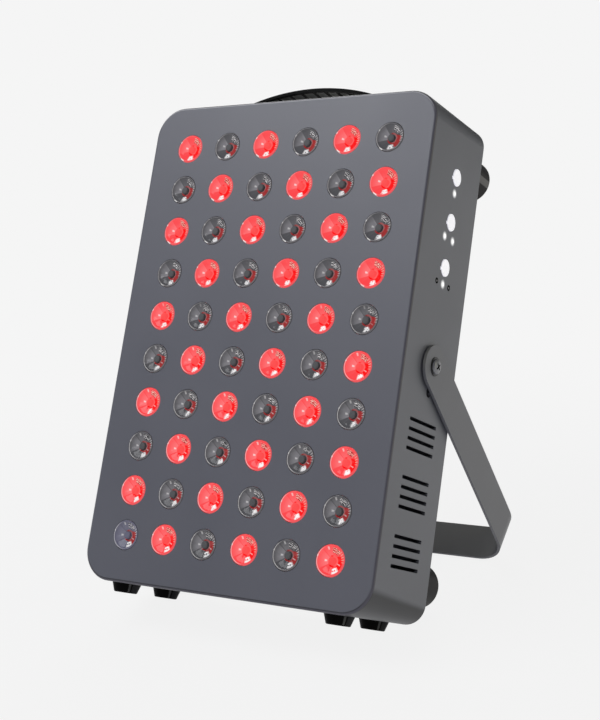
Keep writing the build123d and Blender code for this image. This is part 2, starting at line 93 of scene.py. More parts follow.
LIGHT_Y, LIGHT_DROP, LIGHT_RADIUS, LIGHT_GAP = 37.2, 10.5, 1.8, 0.1
LIGHTS_ON = (True, True, True, False, True, False)
PAINT_PALE, PAINT_DEEP = (0.121, 0.124, 0.150), (0.109, 0.112, 0.136)
PAINT_ROUGHNESS, PAINT_GRAIN, PAINT_BUMP = 0.42, 1700.0, 0.05
EDGE_DARK_REFLECTION, EDGE_HIGHLIGHT = (0.070, 0.067, 0.090), (0.42, 0.42, 0.45)
SHADE_DARK, SHADE_SHARE = (0.010, 0.010, 0.012), 0.95
PAINT_GLOSS, SHADE_GLOSS = 0.5, 0.37


def rounded(inset, steps=CORNER_STEPS, width=BODY_WIDTH, height=BODY_HEIGHT, radius=CORNER_RADIUS):
    """Points (x, z) of a rounded rectangle that is drawn in by an inset."""
    points = []
    bend = max(radius - inset, TIP)
    for corner, (side, end) in enumerate(((1, 1), (-1, 1), (-1, -1), (1, -1))):
        centre_x = side * (width / 2 - inset - bend)
        centre_z = end * (height / 2 - inset - bend)
        for step in range(steps + 1):
            turn = (corner + step / steps) * pi / 2
            points.append((centre_x + bend * cos(turn), centre_z + bend * sin(turn)))
    return points


def corner_radius(y):
    """The corners get tighter from the front to the back."""
    return CORNER_RADIUS + (BACK_CORNER_RADIUS - CORNER_RADIUS) * y / BODY_DEPTH


def body_levels(profile):
    """The body's outline at each (inset, y) of a profile, as (y, outline)."""
    return [(y, rounded(inset, radius=corner_radius(y))) for inset, y in profile]


def through_body(levels, mid_z=0.0):
    """Rings from outlines (x, z) about a height, each with its own y."""
    return [[(x, y, mid_z + z) for x, z in outline] for y, outline in levels]


def across_body(levels, mid_y, mid_z):
    """Rings from outlines (y, z) about a place on the side, each with its own x."""
    return [[(x, mid_y + y, mid_z + z) for y, z in outline] for x, outline in levels]


def quarter(radius, steps):
    """Points of a quarter round, as distances from its two outer sides."""
    turns = [step * pi / 2 / steps for step in range(steps + 1)]
    return [(radius * (1 - sin(turn)), radius * (1 - cos(turn))) for turn in turns]


def skin(bm, rings, close=True, first=True, last=True):
    """Join rings of points with faces, and fill the first and the last ring."""
    rows = [[bm.verts.new(point) for point in ring] for ring in rings]
    for low, high in zip(rows, rows[1:]):
        count = len(low)
        for i in range(count if close else count - 1):
            j = (i + 1) % count
            bm.faces.new((low[i], low[j], high[j], high[i]))
    if first:
        bm.faces.new(rows[0][::-1])
    if last:
        bm.faces.new(rows[-1])
    return rows


def block(bm, low, high):
    """A box between two corners."""
    middle = (Vector(low) + Vector(high)) / 2
    size = Vector(high) - Vector(low)
    shape = Matrix.Translation(middle) @ Matrix.Diagonal((*size, 1))
    bmesh.ops.create_cube(bm, size=1, matrix=shape)


AXES = {
    "x": Matrix.Rotation(pi / 2, 4, "Y"),
    "y": Matrix.Rotation(-pi / 2, 4, "X"),
    "z": Matrix.Identity(4),
    "-z": Matrix.Rotation(pi, 4, "X"),
    "-x": Matrix.Rotation(-pi / 2, 4, "Y"),
}


def lathe(bm, profile, place, axis="y", segments=40):
    """Turn a profile of (radius, height) about an axis that starts at the place."""
    turned = Matrix.Translation(Vector(place)) @ AXES[axis]
    rings = []
    for radius, height in profile:
        turns = [2 * pi * i / segments for i in range(segments)]
        rings.append([turned @ Vector((radius * cos(a), radius * sin(a), height)) for a in turns])
    skin(bm, rings)


def round_bar(bm, radius, start, length, axis="y", segments=40):
    lathe(bm, [(radius, 0), (radius, length)], start, axis, segments)


def keyed_round(radius, key_width, key_reach, steps=56):
    """Points (y, z) of a round with a small key towards the front and a little down."""
    half = asin(key_width / 2 / radius)
    turns = [pi + half + (2 * pi - 2 * half) * i / steps for i in range(steps + 1)]
    key = [(-radius - key_reach, key_width / 2), (-radius - key_reach, -key_width / 2)]
    points = [(radius * cos(turn), radius * sin(turn)) for turn in turns] + key
    c, s = cos(KEY_DROP), sin(KEY_DROP)
    return [(y * c - z * s, y * s + z * c) for y, z in points]


def add(name, data):
    """Put an object into the scene."""
    made = bpy.data.objects.new(name, data)
    bpy.context.scene.collection.objects.link(made)
    return made


def as_object(name, bm):
    """A bmesh drawn upright in millimetres becomes an object in the frame."""
    bmesh.ops.recalc_face_normals(bm, faces=bm.faces)
    mesh = bpy.data.meshes.new(name)
    bm.to_mesh(mesh)
    bm.free()
    mesh.transform(panel)
    return add(name, mesh)


def modify(thing, kind, **settings):
    """Change an object's mesh for good, as a modifier of this kind does."""
    step = thing.modifiers.new("step", kind)
    for label, value in settings.items():
        setattr(step, label, value)
    evaluated = thing.evaluated_get(bpy.context.evaluated_depsgraph_get())
    mesh = bpy.data.meshes.new_from_object(evaluated)
    thing.modifiers.clear()
    old, thing.data = thing.data, mesh
    bpy.data.meshes.remove(old)


def cut(thing, cutter_bm):
    """Take the cutter's solids away from a solid."""
    cutter = as_object("cutter", cutter_bm)
    modify(thing, "BOOLEAN", operation="DIFFERENCE", solver="EXACT", object=cutter)
    bpy.data.objects.remove(cutter)


def soften(thing, width=0.0, segments=2, angle=35):
    """Round the hard edges a little, and shade the rest as smooth or flat as its angles say."""
    if width:
        limit = {"limit_method": "ANGLE", "angle_limit": radians(angle)}
        modify(thing, "BEVEL", width=width * MM, segments=segments, **limit)
    mesh = thing.data
    mesh.polygons.foreach_set("use_smooth", [True] * len(mesh.polygons))
    mesh.set_sharp_from_angle(angle=radians(angle))
    modify(thing, "WEIGHTED_NORMAL", keep_sharp=True)


def shape(name, bm, holes=None, **edges):
    """A piece from its bmesh, with its holes cut and its edges softened."""
    made = as_object(name, bm)
    if holes:
        cut(made, holes)
    soften(made, **edges)
    return made


def put(thing, material, slot, *nodes, body="panel"):
    """Give a piece its finish and its body, and say which solids it stands for."""
    thing.data.materials.clear()
    thing.data.materials.append(material)
    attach(thing, body)
    if nodes:
        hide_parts(*nodes)
    return thing


def new_group(name, inputs, outputs):
    """The wiring of an empty shader node group, and the values that it is given."""
    tree = bpy.data.node_groups.new(name, "ShaderNodeTree")
    for label, start in inputs.items():
        socket = tree.interface.new_socket(label, in_out="INPUT", socket_type="NodeSocketFloat")
        socket.default_value = start
    for label in outputs:
        tree.interface.new_socket(label, in_out="OUTPUT", socket_type="NodeSocketFloat")
    tree.nodes.new("NodeGroupOutput")
    return Net(tree), tree.nodes.new("NodeGroupInput").outputs


def colour(tone):
    """A socket's colour, from red, green and blue or from one grey."""
    return (*tone, 1.0) if isinstance(tone, tuple) else (tone, tone, tone, 1.0)


class Net:
    """Short words for adding shader nodes and joining their sockets."""

    def __init__(self, tree):
        self.tree = tree
        self.end = tree.nodes.get("Principled BSDF") or tree.nodes.get("Group Output")

    def join(self, source, socket):
        """Link a socket to another, or set it to a value."""
        if isinstance(source, bpy.types.NodeSocket):
            self.tree.links.new(source, socket)
        else:
            socket.default_value = source

    def feed(self, label, source):
        """Give a value to a socket of the shader or of the group's output."""
        self.join(source, self.end.inputs[label])

    def node(self, kind, out=0, settings=(), **sockets):
        """Add a node. Its sockets go by their labels, or by their numbers, as in i0."""
        made = self.tree.nodes.new("ShaderNode" + kind)
        for label, value in dict(settings).items():
            setattr(made, label, value)
        for label, source in sockets.items():
            numbered = label[0] == "i" and label[1:].isdigit()
            key = int(label[1:]) if numbered else label.replace("_", " ")
            self.join(source, made.inputs[key])
        return made.outputs[out]

    def group(self, tree, **values):
        """Add a node that holds a node group, and give its outputs."""
        made = self.tree.nodes.new("ShaderNodeGroup")
        made.node_tree = tree
        for label, value in values.items():
            made.inputs[label].default_value = value
        return made.outputs

    def math(self, operation, a, b=0.0, c=0.0):
        return self.node("Math", 0, {"operation": operation}, i0=a, i1=b, i2=c)

    def times(self, product, *others):
        """All values multiplied."""
        for other in others:
            product = self.math("MULTIPLY", product, other)
        return product

    def most(self, largest, *others):
        """The largest of all values."""
        for other in others:
            largest = self.math("MAXIMUM", largest, other)
        return largest

    def less(self, a, b):
        return self.math("SUBTRACT", a, b)

    def between(self, value, low, high, start=0.0, end=1.0):
        """A smooth step from start to end as the value goes from low to high."""
        settings = {"interpolation_type": "SMOOTHSTEP"}
        limits = {"i1": low, "i2": high, "i3": start, "i4": end}
        return self.node("MapRange", 0, settings, i0=value, **limits)

    def falls(self, value, low, high):
        return self.between(value, low, high, 1.0, 0.0)

    def hump(self, value, rise, fall):
        """One between a rise and a fall, each a smooth step over (low, high)."""
        return self.times(self.between(value, *rise), self.falls(value, *fall))

    def vector(self, operation, a, b=(0.0, 0.0, 0.0), out=1):
        return self.node("VectorMath", out, {"operation": operation}, i0=a, i1=b)

    def dot(self, a, b):
        return self.vector("DOT_PRODUCT", a, b)

    def place(self):
        """Where the surface lies, in the piece's own space."""
        return self.node("TexCoord", out=3)

    def facing(self):
        """Which way the surface faces, in the piece's own space."""
        return self.node("TexCoord", out=1)

    def kept(self, name, out=2):
        """What the mesh keeps under a name: a place (1) or a number (2)."""
        return self.node("Attribute", out, {"attribute_name": name})

    def blend(self, share, a, b):
        """Mix two colours."""
        made = self.tree.nodes.new("ShaderNodeMix")
        made.data_type = "RGBA"
        self.join(share, made.inputs[0])
        for source, number in ((a, 6), (b, 7)):
            plain = isinstance(source, (tuple, float))
            self.join(colour(source) if plain else source, made.inputs[number])
        return made.outputs[2]

    def overlay(self, share, tone):
        """Lay a colour over the shader's own, as far as the share says."""
        socket = self.end.inputs["Base Color"]
        self.join(self.blend(share, socket.links[0].from_socket, tone), socket)


# The grain group: fine bumps of a sprayed or moulded surface, in the piece's own space
net, given = new_group(
    "surface_grain", {"Scale": 1200.0, "Cloud Scale": 14.0}, ("Height", "Cloud")
)
grain_tree = net.tree
for size, label, detail, rough in (
    ("Scale", "Height", 3.0, 0.6), ("Cloud Scale", "Cloud", 2.0, 0.5)
):
    texture = {"Scale": given[size], "Detail": detail, "Roughness": rough}
    net.feed(label, net.node("TexNoise", Vector=net.place(), **texture))


def new_material(name):
    """A material and its wiring."""
    material = bpy.data.materials.new(name)
    material.use_nodes = True
    return material, Net(material.node_tree)


GRAIN_STEP, GLOSS_CHANGE = 0.0001, 0.03


def finish(name, light, dark, roughness, grain=1200.0, bump=0.08, **fixed):
    """A plain finish: a cloudy change between two close colours, a fine grain and its bumps."""
    material, net = new_material(name)
    surface = net.group(grain_tree, Scale=grain)
    net.feed("Base Color", net.blend(surface["Cloud"], dark, light))
    limits = (roughness - GLOSS_CHANGE, roughness + GLOSS_CHANGE)
    net.feed("Roughness", net.between(surface["Cloud"], 0.3, 0.7, *limits))
    grains = {"Height": surface["Height"], "Strength": bump, "Distance": GRAIN_STEP}
    net.feed("Normal", net.node("Bump", **grains))
    for label, value in fixed.items():
        net.feed(label.replace("_", " "), value)
    return material


TOP_Z = BODY_HEIGHT / 2
SIDE_X = BODY_WIDTH / 2
COVER_Y = BODY_DEPTH - COVER_THICKNESS
COLUMN_PITCH = (BODY_WIDTH - 2 * GRID_SIDE_MARGIN) / (LENS_COLUMNS - 1)
ROW_PITCH = (BODY_HEIGHT - 2 * GRID_END_MARGIN) / (LENS_ROWS - 1)
lens_places = [
    (
        (column - (LENS_COLUMNS - 1) / 2) * COLUMN_PITCH,
        ((LENS_ROWS - 1) / 2 - row) * ROW_PITCH,
        (row + column) % 2 == 0,
    )
    for row in range(LENS_ROWS)
    for column in range(LENS_COLUMNS)
]
vent_heights = [
    -VENT_FIRST_DROP - cluster * VENT_GROUP_PITCH - slot * VENT_PITCH
    for cluster in range(VENT_GROUPS)
    for slot in range(VENTS_IN_GROUP)
]
button_heights = [BUTTON_Z + BUTTON_PITCH, BUTTON_Z, BUTTON_Z - BUTTON_PITCH]
light_places = [
    (LIGHT_Y + (number - (count - 1) / 2) * pitch, height - LIGHT_DROP)
    for height, count, pitch in zip(button_heights, LIGHT_COUNTS, LIGHT_PITCHES)
    for number in range(count)
]

# The paint_edges group: painted light and shade on the housing's paint. On the front edge, a
# painted dark reflection where it turns away and a painted highlight where it turns up, and on
# the rounded corners, which fall into shade, painted shade. Depth is metres behind the front
# face; rise and across say how far the paint faces up and to the right, from -1 to 1.
net, given = new_group(
    "paint_edges", {"Edge": FRONT_EDGE * MM}, ("Painted Dark Reflection", "Painted Highlight", "Shade")
)
edge_tree = net.tree
from_front = net.vector("SUBTRACT", net.place(), panel.to_translation(), out=0)
depth = net.dot(from_front, BACK)
facing = net.facing()
rise, across = net.dot(facing, UP), net.dot(facing, RIGHT)
INNER_END, LIT_END, OUTER_START, OUTER_END = 0.2, 0.3, 0.6, 0.9        # shares of the edge
inner_end, lit_end, outer_start, outer_end = (
    net.times(given["Edge"], share) for share in (INNER_END, LIT_END, OUTER_START, OUTER_END)
)
# Painted dark reflection on the front edge where it turns to the right or down
dark = net.times(
    net.between(depth, 0.0, inner_end),
    net.falls(depth, outer_start, outer_end),
    net.most(net.between(across, 0.1, 0.4), net.between(rise, -0.1, -0.4)),
    net.falls(rise, 0.4, 0.75),
)
# Painted highlight on the front edge where it turns up
lit = net.times(
    net.falls(depth, 0.0, lit_end), net.hump(rise, (0.12, 0.3), (0.6, 0.85))
)
# Painted shade on the rounded corners at the bottom and at the top
low_corner = net.times(
    net.between(rise, -0.03, -0.32), net.between(rise, -0.6, -0.98, 1.0, 0.8)
)
high_corner = net.between(rise, 0.15, 0.75)
net.feed("Painted Dark Reflection", dark)
net.feed("Painted Highlight", lit)
net.feed("Shade", net.most(low_corner, high_corner))

# The lamp_glow group: the soft round glow of the lit indicators, on their pins and on the paint
# around them
HALO_REACH, HALO_LIGHT = 3.5, 1.15
net, given = new_group("lamp_glow", {"Reach": HALO_REACH * MM}, ("Glow",))
glow_tree = net.tree
halo = 0.0
for (y, z), lit in zip(light_places, LIGHTS_ON):
    if lit:
        away = net.vector("DISTANCE", net.place(), panel @ Vector((SIDE_X, y, z)))
        halo = net.most(net.falls(away, 0.0, given["Reach"]), halo)
net.feed("Glow", halo)


def add_glow(net):
    """Light that fades away from the middle of each lit indicator."""
    glow = net.group(glow_tree)["Glow"]
    net.feed("Emission Color", net.blend(glow, 0.0, HALO_LIGHT))
    net.feed("Emission Strength", 1.0)


housing_paint = finish(
    "housing_paint", PAINT_PALE, PAINT_DEEP, PAINT_ROUGHNESS, PAINT_GRAIN, PAINT_BUMP
)
net = Net(housing_paint.node_tree)
edges = net.group(edge_tree)
# Painted shade on the rounded corners, and along the front edge a painted dark reflection and a
# painted highlight
net.overlay(net.times(edges["Shade"], SHADE_SHARE), SHADE_DARK)
net.overlay(edges["Painted Dark Reflection"], EDGE_DARK_REFLECTION)
net.overlay(edges["Painted Highlight"], EDGE_HIGHLIGHT)
gloss = net.between(edges["Shade"], 0.0, 1.0, PAINT_GLOSS, SHADE_GLOSS)
net.feed("Specular IOR Level", gloss)
add_glow(net)

bm = bmesh.new()
flange_reach, flange_y = WALL + FLANGE_WIDTH, COVER_Y - FLANGE_THICKNESS
profile = quarter(FRONT_EDGE, 5) + [(a, BODY_DEPTH - b) for a, b in quarter(BACK_EDGE, 3)[::-1]]
profile += [(WALL, BODY_DEPTH), (WALL, COVER_Y), (flange_reach, COVER_Y)]
profile += [(flange_reach, flange_y), (WALL, flange_y), (WALL, WALL)]
skin(bm, through_body(body_levels(profile)))
holes = bmesh.new()
for x, z, red in lens_places:
    round_bar(holes, LENS_HOLE_RADIUS, (x, -WALL, z), 3 * WALL, segments=44)
vent = rounded(0, 3, VENT_LENGTH, VENT_WIDTH, VENT_CORNER)
for height in vent_heights:
    for side in (-1, 1):
        levels = [(side * SIDE_X + shift, vent) for shift in (-2 * WALL, 2 * WALL)]
        skin(holes, across_body(levels, BODY_DEPTH / 2, height))
for side in (-1, 1):
    start = (side * SIDE_X - 2 * WALL, SIDE_HOLE_Y, SIDE_HOLE_Z)
    round_bar(holes, SIDE_HOLE_RADIUS, start, 4 * WALL, "x")
opening = keyed_round(BUTTON_RADIUS + BUTTON_GAP, KEY_WIDTH + 2 * BUTTON_GAP, KEY_REACH)
for height in button_heights:
    levels = [(x, opening) for x in (SIDE_X - 2 * WALL, SIDE_X + WALL)]
    skin(holes, across_body(levels, BUTTON_Y, height))
for y, z in light_places:
    round_bar(holes, LIGHT_RADIUS + LIGHT_GAP, (SIDE_X - 2 * WALL, y, z), 4 * WALL, "x", 24)
put(shape("housing_shell", bm, holes), housing_paint, "housing_paint", "housing")


# Lenses: sixty clear acrylic lenses, pressed into the holes from behind, with a raised rim, a
# fluted dish and a small flat boss over the lamp. The red ones glow with the lamp behind them.
# Both kinds carry a painted image of their lamp's chip on the dish, dark red on the clear ones,
# a painted sheen on the petals, and painted glints and sparkles.
LENS_RADIUS = 9.4
LENS_PETALS = 8
LENS_SEGMENTS = 48
LENS_PROFILE = (
    (9.4, 3.0), (9.4, 0.1), (9.3, -0.25), (9.0, -0.48), (8.6, -0.5), (8.3, -0.3), (8.0, 0.2),
    (7.0, 0.75), (5.6, 1.4), (4.2, 2.0), (3.0, 2.5), (2.5, 2.7), (2.35, 1.5), (2.1, 1.2),
    (1.0, 1.15),
)
FLUTE_DEPTH = 0.55
FLUTE_MIDDLE, FLUTE_REACH = 5.2, 3.2
MARK_TWIST = 0.27


def lens_mesh(name, want_red):
    """All lenses of one kind. Each point keeps its place in its own lens, and its row."""
    bm = bmesh.new()
    mark = bm.verts.layers.float_vector.new("lens_place")
    tone = bm.verts.layers.float.new("lens_tint")
    top, bottom = lens_places[0][1], lens_places[-1][1]
    turns = [2 * pi * i / LENS_SEGMENTS for i in range(LENS_SEGMENTS)]
    for x, z, red in lens_places:
        if red != want_red:
            continue
        tint = float((x, z) == lens_places[-LENS_COLUMNS][:2])        # the lowest left one
        down = (top - z) / (top - bottom)
        rings = []
        for radius, depth in LENS_PROFILE:
            flute = FLUTE_DEPTH * max(0.0, 1 - abs(radius - FLUTE_MIDDLE) / FLUTE_REACH)
            folds = [depth - flute * abs(sin(LENS_PETALS / 2 * turn)) for turn in turns]
            ends = [(x + radius * cos(turn), z + radius * sin(turn)) for turn in turns]
            rings.append([(a, fold, b) for (a, b), fold in zip(ends, folds)])
        for (radius, depth), row in zip(LENS_PROFILE, skin(bm, rings)):
            for turn, point in zip(turns, row):
                seen, share = turn - MARK_TWIST * down, radius / LENS_RADIUS
                point[mark] = (share * cos(seen), share * sin(seen), down)
                point[tone] = tint
    return shape(name, bm, angle=50)


# The lens_marks group: where the painted sheen on the facets, the painted image of the chip, the
# painted glints and sparkles, and the rim of a lens lie.
# Turns are radians from the right, lengths are shares of the lens's radius, and down is the row,
# from 0 at the top of the panel to 1 at its bottom.
MARK_NAMES = ("Facet Sheen", "Chip Image", "Glint", "Sparkle", "Sparkle Dark", "Rim", "Boss", "Tint")
MARK_SOFT = 0.02
net, given = new_group("lens_marks", {"Petal Share": 0.28}, MARK_NAMES)
marks_tree = net.tree
spot = net.kept("lens_place", out=1)
parts = marks_tree.nodes.new("ShaderNodeSeparateXYZ")
net.join(spot, parts.inputs[0])
across, up, down = parts.outputs


def distance(x, y):
    """How long a step of x and y is."""
    squares = [net.math("POWER", side, 2.0) for side in (x, y)]
    return net.math("SQRT", net.math("ADD", *squares))


reach = distance(across, up)
turn = net.math("ARCTAN2", up, across)


def sector(middle, half, soft=0.1):
    """One inside a sector of the lens, zero outside."""
    away = net.math("ABSOLUTE", net.less(turn, middle))
    around = net.math("MINIMUM", away, net.less(2 * pi, away))
    return net.falls(around, half - soft, half + soft)


def band(low, high, soft=MARK_SOFT):
    """One between two distances from the lens's middle, zero outside."""
    return net.hump(reach, (low - soft, low + soft), (high - soft, high + soft))


def patch(around, outward):
    """One where a sector (middle, half, soft) and a band (low, high, soft) meet."""
    return net.times(sector(*around), band(*outward))


low_rows, high_rows = net.between(down, 0.3, 0.6), net.falls(down, 0.25, 0.5)
BOSS_ASIDE, BOSS_RISE, BOSS_SHARE = 0.07, -0.02, 0.28
from_boss = distance(net.less(across, BOSS_ASIDE), net.less(up, BOSS_RISE))
outside_boss = net.between(from_boss, BOSS_SHARE - MARK_SOFT, BOSS_SHARE + MARK_SOFT)
net.feed("Boss", net.less(1.0, outside_boss))

# Facets: a painted sheen that differs from petal to petal, a painted highlight on the left petal,
# and one on the top petal in the low rows
count = net.math("FLOOR", net.times(net.math("ADD", turn, pi), LENS_PETALS / (2 * pi)))
sheen = net.node("TexWhiteNoise", 0, {"noise_dimensions": "1D"}, W=count)
left_petal = sector(2.8, 0.72, 0.05)
top_petal = net.times(sector(1.6, 0.4, 0.15), net.math("MULTIPLY_ADD", low_rows, 0.3, 0.3))
petal = net.most(net.times(sheen, given["Petal Share"]), left_petal, top_petal)
net.feed("Facet Sheen", net.times(petal, net.between(reach, 0.95, 0.3, 0.3, 1.0)))

# Chip image: a painted dark red image of the lamp's chip, as a strip from the boss down to the
# right, which widens outwards, and a collar round the boss
CHIP_TURN, CHIP_HALF, CHIP_FLARE, CHIP_END, COLLAR_SHARE = -0.48, 0.33, 0.14, 0.86, 0.38
ragged, fine = (
    net.node("TexNoise", Vector=spot, Scale=scale, Detail=2.0, Roughness=0.6)
    for scale in (7.0, 8.5)
)
along = net.dot(spot, Vector((cos(CHIP_TURN), sin(CHIP_TURN), 0)))
beside = net.math("ABSOLUTE", net.dot(spot, Vector((-sin(CHIP_TURN), cos(CHIP_TURN), 0))))
beside = net.math("MULTIPLY_ADD", along, -CHIP_FLARE, beside)
strip = net.times(
    net.falls(beside, CHIP_HALF - MARK_SOFT, CHIP_HALF + MARK_SOFT),
    net.between(along, -0.2, -0.1),
    outside_boss,
    net.falls(reach, CHIP_END - MARK_SOFT, CHIP_END + MARK_SOFT),
    net.between(fine, 0.36, 0.42, 0.85, 1.0),
)
collar = net.times(
    sector(CHIP_TURN, 2.2, 0.3),
    outside_boss,
    net.falls(from_boss, COLLAR_SHARE - MARK_SOFT, COLLAR_SHARE + MARK_SOFT),
)
net.feed("Chip Image", net.most(strip, collar))

# Glints: the large one lies low in the dish, the others on the rim, the dish and the boss's edge
low_turn = net.math("MULTIPLY_ADD", down, 0.10, -1.42)
low_glint = net.times(patch((low_turn, 0.29), (0.5, 0.85)), net.between(ragged, 0.38, 0.44))
rim_glint = patch((-2.15, 0.16, 0.05), (0.92, 1.02))
rim_spot = patch((2.6, 0.07, 0.05), (0.9, 0.99))
rim_line = patch((3.1, 1.1, 0.4), (0.91, 0.95, 0.015))
small_glint = patch((2.87, 0.13, 0.05), (0.36, 0.5))
top_streak = patch((1.6, 0.07, 0.04), (0.7, 0.88))
dash = patch((-0.6, 0.05, 0.03), (0.4, 0.72))
boss_edge = net.times(net.hump(from_boss, (0.22, 0.3), (0.34, 0.42)), sector(0.0, 1.3, 0.4))
glint = low_glint
for mark, share in (
    (rim_glint, net.times(high_rows, 0.9)),
    (rim_spot, 0.7),
    (rim_line, net.math("MULTIPLY_ADD", low_rows, 0.32, 0.2)),
    (small_glint, 0.6),
    (boss_edge, 0.13),
    (top_streak, net.times(low_rows, 0.45)),
    (dash, net.times(low_rows, 0.45)),
):
    glint = net.most(glint, net.times(mark, share))
net.feed("Glint", glint)

# Sparkles: painted broken pale and dark lines of reflection at the upper right, and painted
# short highlight streaks along the right rim
WAVES, WAVE_BEND, STREAKS, STREAK_SHARE, TOP_RIM_SHARE = 52.0, 0.3, 34.0, 0.55, 0.8
sparkle = patch((0.85, 0.42), (0.52, 0.84))
wave = net.math("SINE", net.times(net.math("MULTIPLY_ADD", fine, WAVE_BEND, reach), WAVES))
pale = net.times(sparkle, net.between(wave, 0.2, 0.7))
ripple = net.math("SINE", net.times(turn, STREAKS))
streaks = net.times(patch((0.05, 0.4, 0.1), (0.74, 0.97)), net.between(ripple, 0.1, 0.6))
net.feed("Sparkle", net.most(pale, net.times(streaks, STREAK_SHARE)))
net.feed("Sparkle Dark", net.times(sparkle, net.between(wave, -0.5, -0.9)))
top_rim = net.times(sector(1.35, 0.7, 0.2), TOP_RIM_SHARE)
net.feed("Rim", net.times(band(0.9, 1.1), net.less(1.0, top_rim)))
net.feed("Tint", net.kept("lens_tint"))

TINT, TINT_SHARE = (0.20, 0.20, 0.31), 0.55
GLINT = (0.95, 0.93, 0.92)
DISH_ROUGHNESS, FACET_ROUGHNESS, BOSS_ROUGHNESS, DISH_COAT = 0.08, 0.2, 0.6, 0.08


def lens_material(name, glow, body, facet_sheen, chip_image, rim, boss, sparkle, sparkle_dark):
    """Clear acrylic over a lamp. A lit lens glows, and an unlit one only reflects."""
    material, net = new_material(name)
    mark = net.group(marks_tree)
    # The marks lay painted light over the lens's tone: a painted sheen on the facets, a painted
    # image of the chip, painted sparkles and painted glints. A lit lens glows with them.
    look = net.blend(mark["Facet Sheen"], body, facet_sheen)
    look = net.blend(mark["Boss"], look, boss)
    look = net.blend(mark["Rim"], look, rim)
    if not glow:
        look = net.blend(net.times(mark["Tint"], TINT_SHARE), look, TINT)
    for label, tone in (("Chip Image", chip_image), ("Sparkle", sparkle), ("Sparkle Dark", sparkle_dark), ("Glint", GLINT)):
        look = net.blend(mark[label], look, tone)
    if glow:
        net.feed("Emission Color", look)
        net.feed("Emission Strength", glow)
        look = net.blend(mark["Facet Sheen"], (0.06, 0.0, 0.0), (0.10, 0.01, 0.01))
    net.feed("Base Color", look)
    rough = net.between(mark["Facet Sheen"], 0.0, 1.0, DISH_ROUGHNESS, FACET_ROUGHNESS)
    net.feed("Roughness", net.most(rough, net.times(mark["Boss"], BOSS_ROUGHNESS)))
    net.feed("Coat Weight", net.math("MULTIPLY_ADD", mark["Boss"], -DISH_COAT, DISH_COAT))
    net.feed("Specular IOR Level", 0.15)
    net.feed("Coat Roughness", 0.05)
    return material


red_glass = lens_material(
    "red_lens", 0.92, body=(1.0, 0.066, 0.075), facet_sheen=(1.0, 0.19, 0.20), chip_image=(1.0, 0.004, 0.005),
    rim=(0.88, 0.10, 0.11), boss=(1.0, 0.080, 0.080), sparkle=(0.86, 0.58, 0.48),
    sparkle_dark=(0.12, 0.02, 0.01),
)
clear_glass = lens_material(
    "clear_lens", 0.0, body=(0.100, 0.100, 0.108), facet_sheen=(0.32, 0.31, 0.33),
    chip_image=(0.42, 0.034, 0.034), rim=(0.185, 0.175, 0.185), boss=(0.105, 0.105, 0.110),
    sparkle=(0.80, 0.77, 0.77), sparkle_dark=0.02,
)
put(lens_mesh("red_lenses", True), red_glass, "red_lens", "lenses_red")
put(lens_mesh("clear_lenses", False), clear_glass, "clear_lens", "lenses_clear")


# Push buttons: three white caps in the right wall, each with a small key towards the front that
# stops it from turning. They are moulded in gloss plastic and stand just proud of the wall.
BUTTON_PROUD = 0.4
BUTTON_BACK_X = 101.7
CAP_EDGE = 0.3
# The caps carry a faint bluish painted glow, which makes them read as bright white
white_plastic = finish(
    "white_plastic", 0.86, 0.84, 0.3, bump=0.02,
    Emission_Color=colour((0.86, 0.85, 1.0)), Emission_Strength=0.45,
)
for name, height in zip(("power_button", "mode_button", "timer_button"), button_heights):
    bm = bmesh.new()
    rows = [(0, BUTTON_BACK_X)]
    rows += [(a, SIDE_X + BUTTON_PROUD - b) for a, b in quarter(CAP_EDGE, 4)[::-1]]
    levels = [(x, keyed_round(BUTTON_RADIUS - a, KEY_WIDTH, KEY_REACH)) for a, x in rows]
    skin(bm, across_body(levels, BUTTON_Y, height))
    put(shape(name + "_cap", bm, angle=40), white_plastic, "white_plastic", name, body=name)


# Indicator lights: clear moulded pins with a low dome, flush with the wall. Four are lit, and the
# two dark ones sit in black bushes that are pressed into the wall.
BUSH_RADIUS, BUSH_GAP = 1.8, 0.05
PIN_RADIUS, PIN_LENGTH, PIN_PROUD = 0.8, 5.0, 0.15
PIN_DOME = ((1.0, 0.15), (0.85, 0.03), (0.4, 0.0))        # share of the radius, drop from the top
lit_pin = finish("lit_pin", 0.24, 0.20, 0.3)
add_glow(Net(lit_pin.node_tree))
dark_pin = finish("dark_pin", (0.16, 0.16, 0.17), (0.12, 0.12, 0.13), 0.2)
bush_black = finish("bush_black", 0.003, 0.002, 0.8, Specular_IOR_Level=0.02)
top = PIN_LENGTH + PIN_PROUD
for number, ((y, z), lit) in enumerate(zip(light_places, LIGHTS_ON)):
    bm = bmesh.new()
    radius = BUSH_RADIUS if lit else PIN_RADIUS
    dome = [(radius, 0)] + [(radius * share, top - drop) for share, drop in PIN_DOME]
    lathe(bm, dome + [(TIP, top)], (SIDE_X - PIN_LENGTH, y, z), "x", 24)
    pin = shape("indicator_" + str(number), bm, angle=50)
    nodes = ["indicator_lights"] if number == 0 else []
    put(pin, lit_pin if lit else dark_pin, "light_pipe", *nodes)
    if not lit:
        bm = bmesh.new()
        inner, level = PIN_RADIUS + BUSH_GAP, top - BUSH_GAP
        ring = [(BUSH_RADIUS, 0), (BUSH_RADIUS, level), (inner, level), (inner, 0)]
        lathe(bm, ring, (SIDE_X - PIN_LENGTH, y, z), "x", 24)
        put(shape("indicator_bush_" + str(number), bm), bush_black, "black_plastic")


# Pieces inside the housing, as the solids have them: lamps on an aluminium-core board with a
# finned heat sink, the control board with its switches and brass posts, the fan and the supply.
def dress(material, *nodes):
    """Give solids of the frame a finish of their own."""
    for node in nodes:
        mesh = frame["nodes"][node].data
        mesh.materials.clear()
        mesh.materials.append(material)


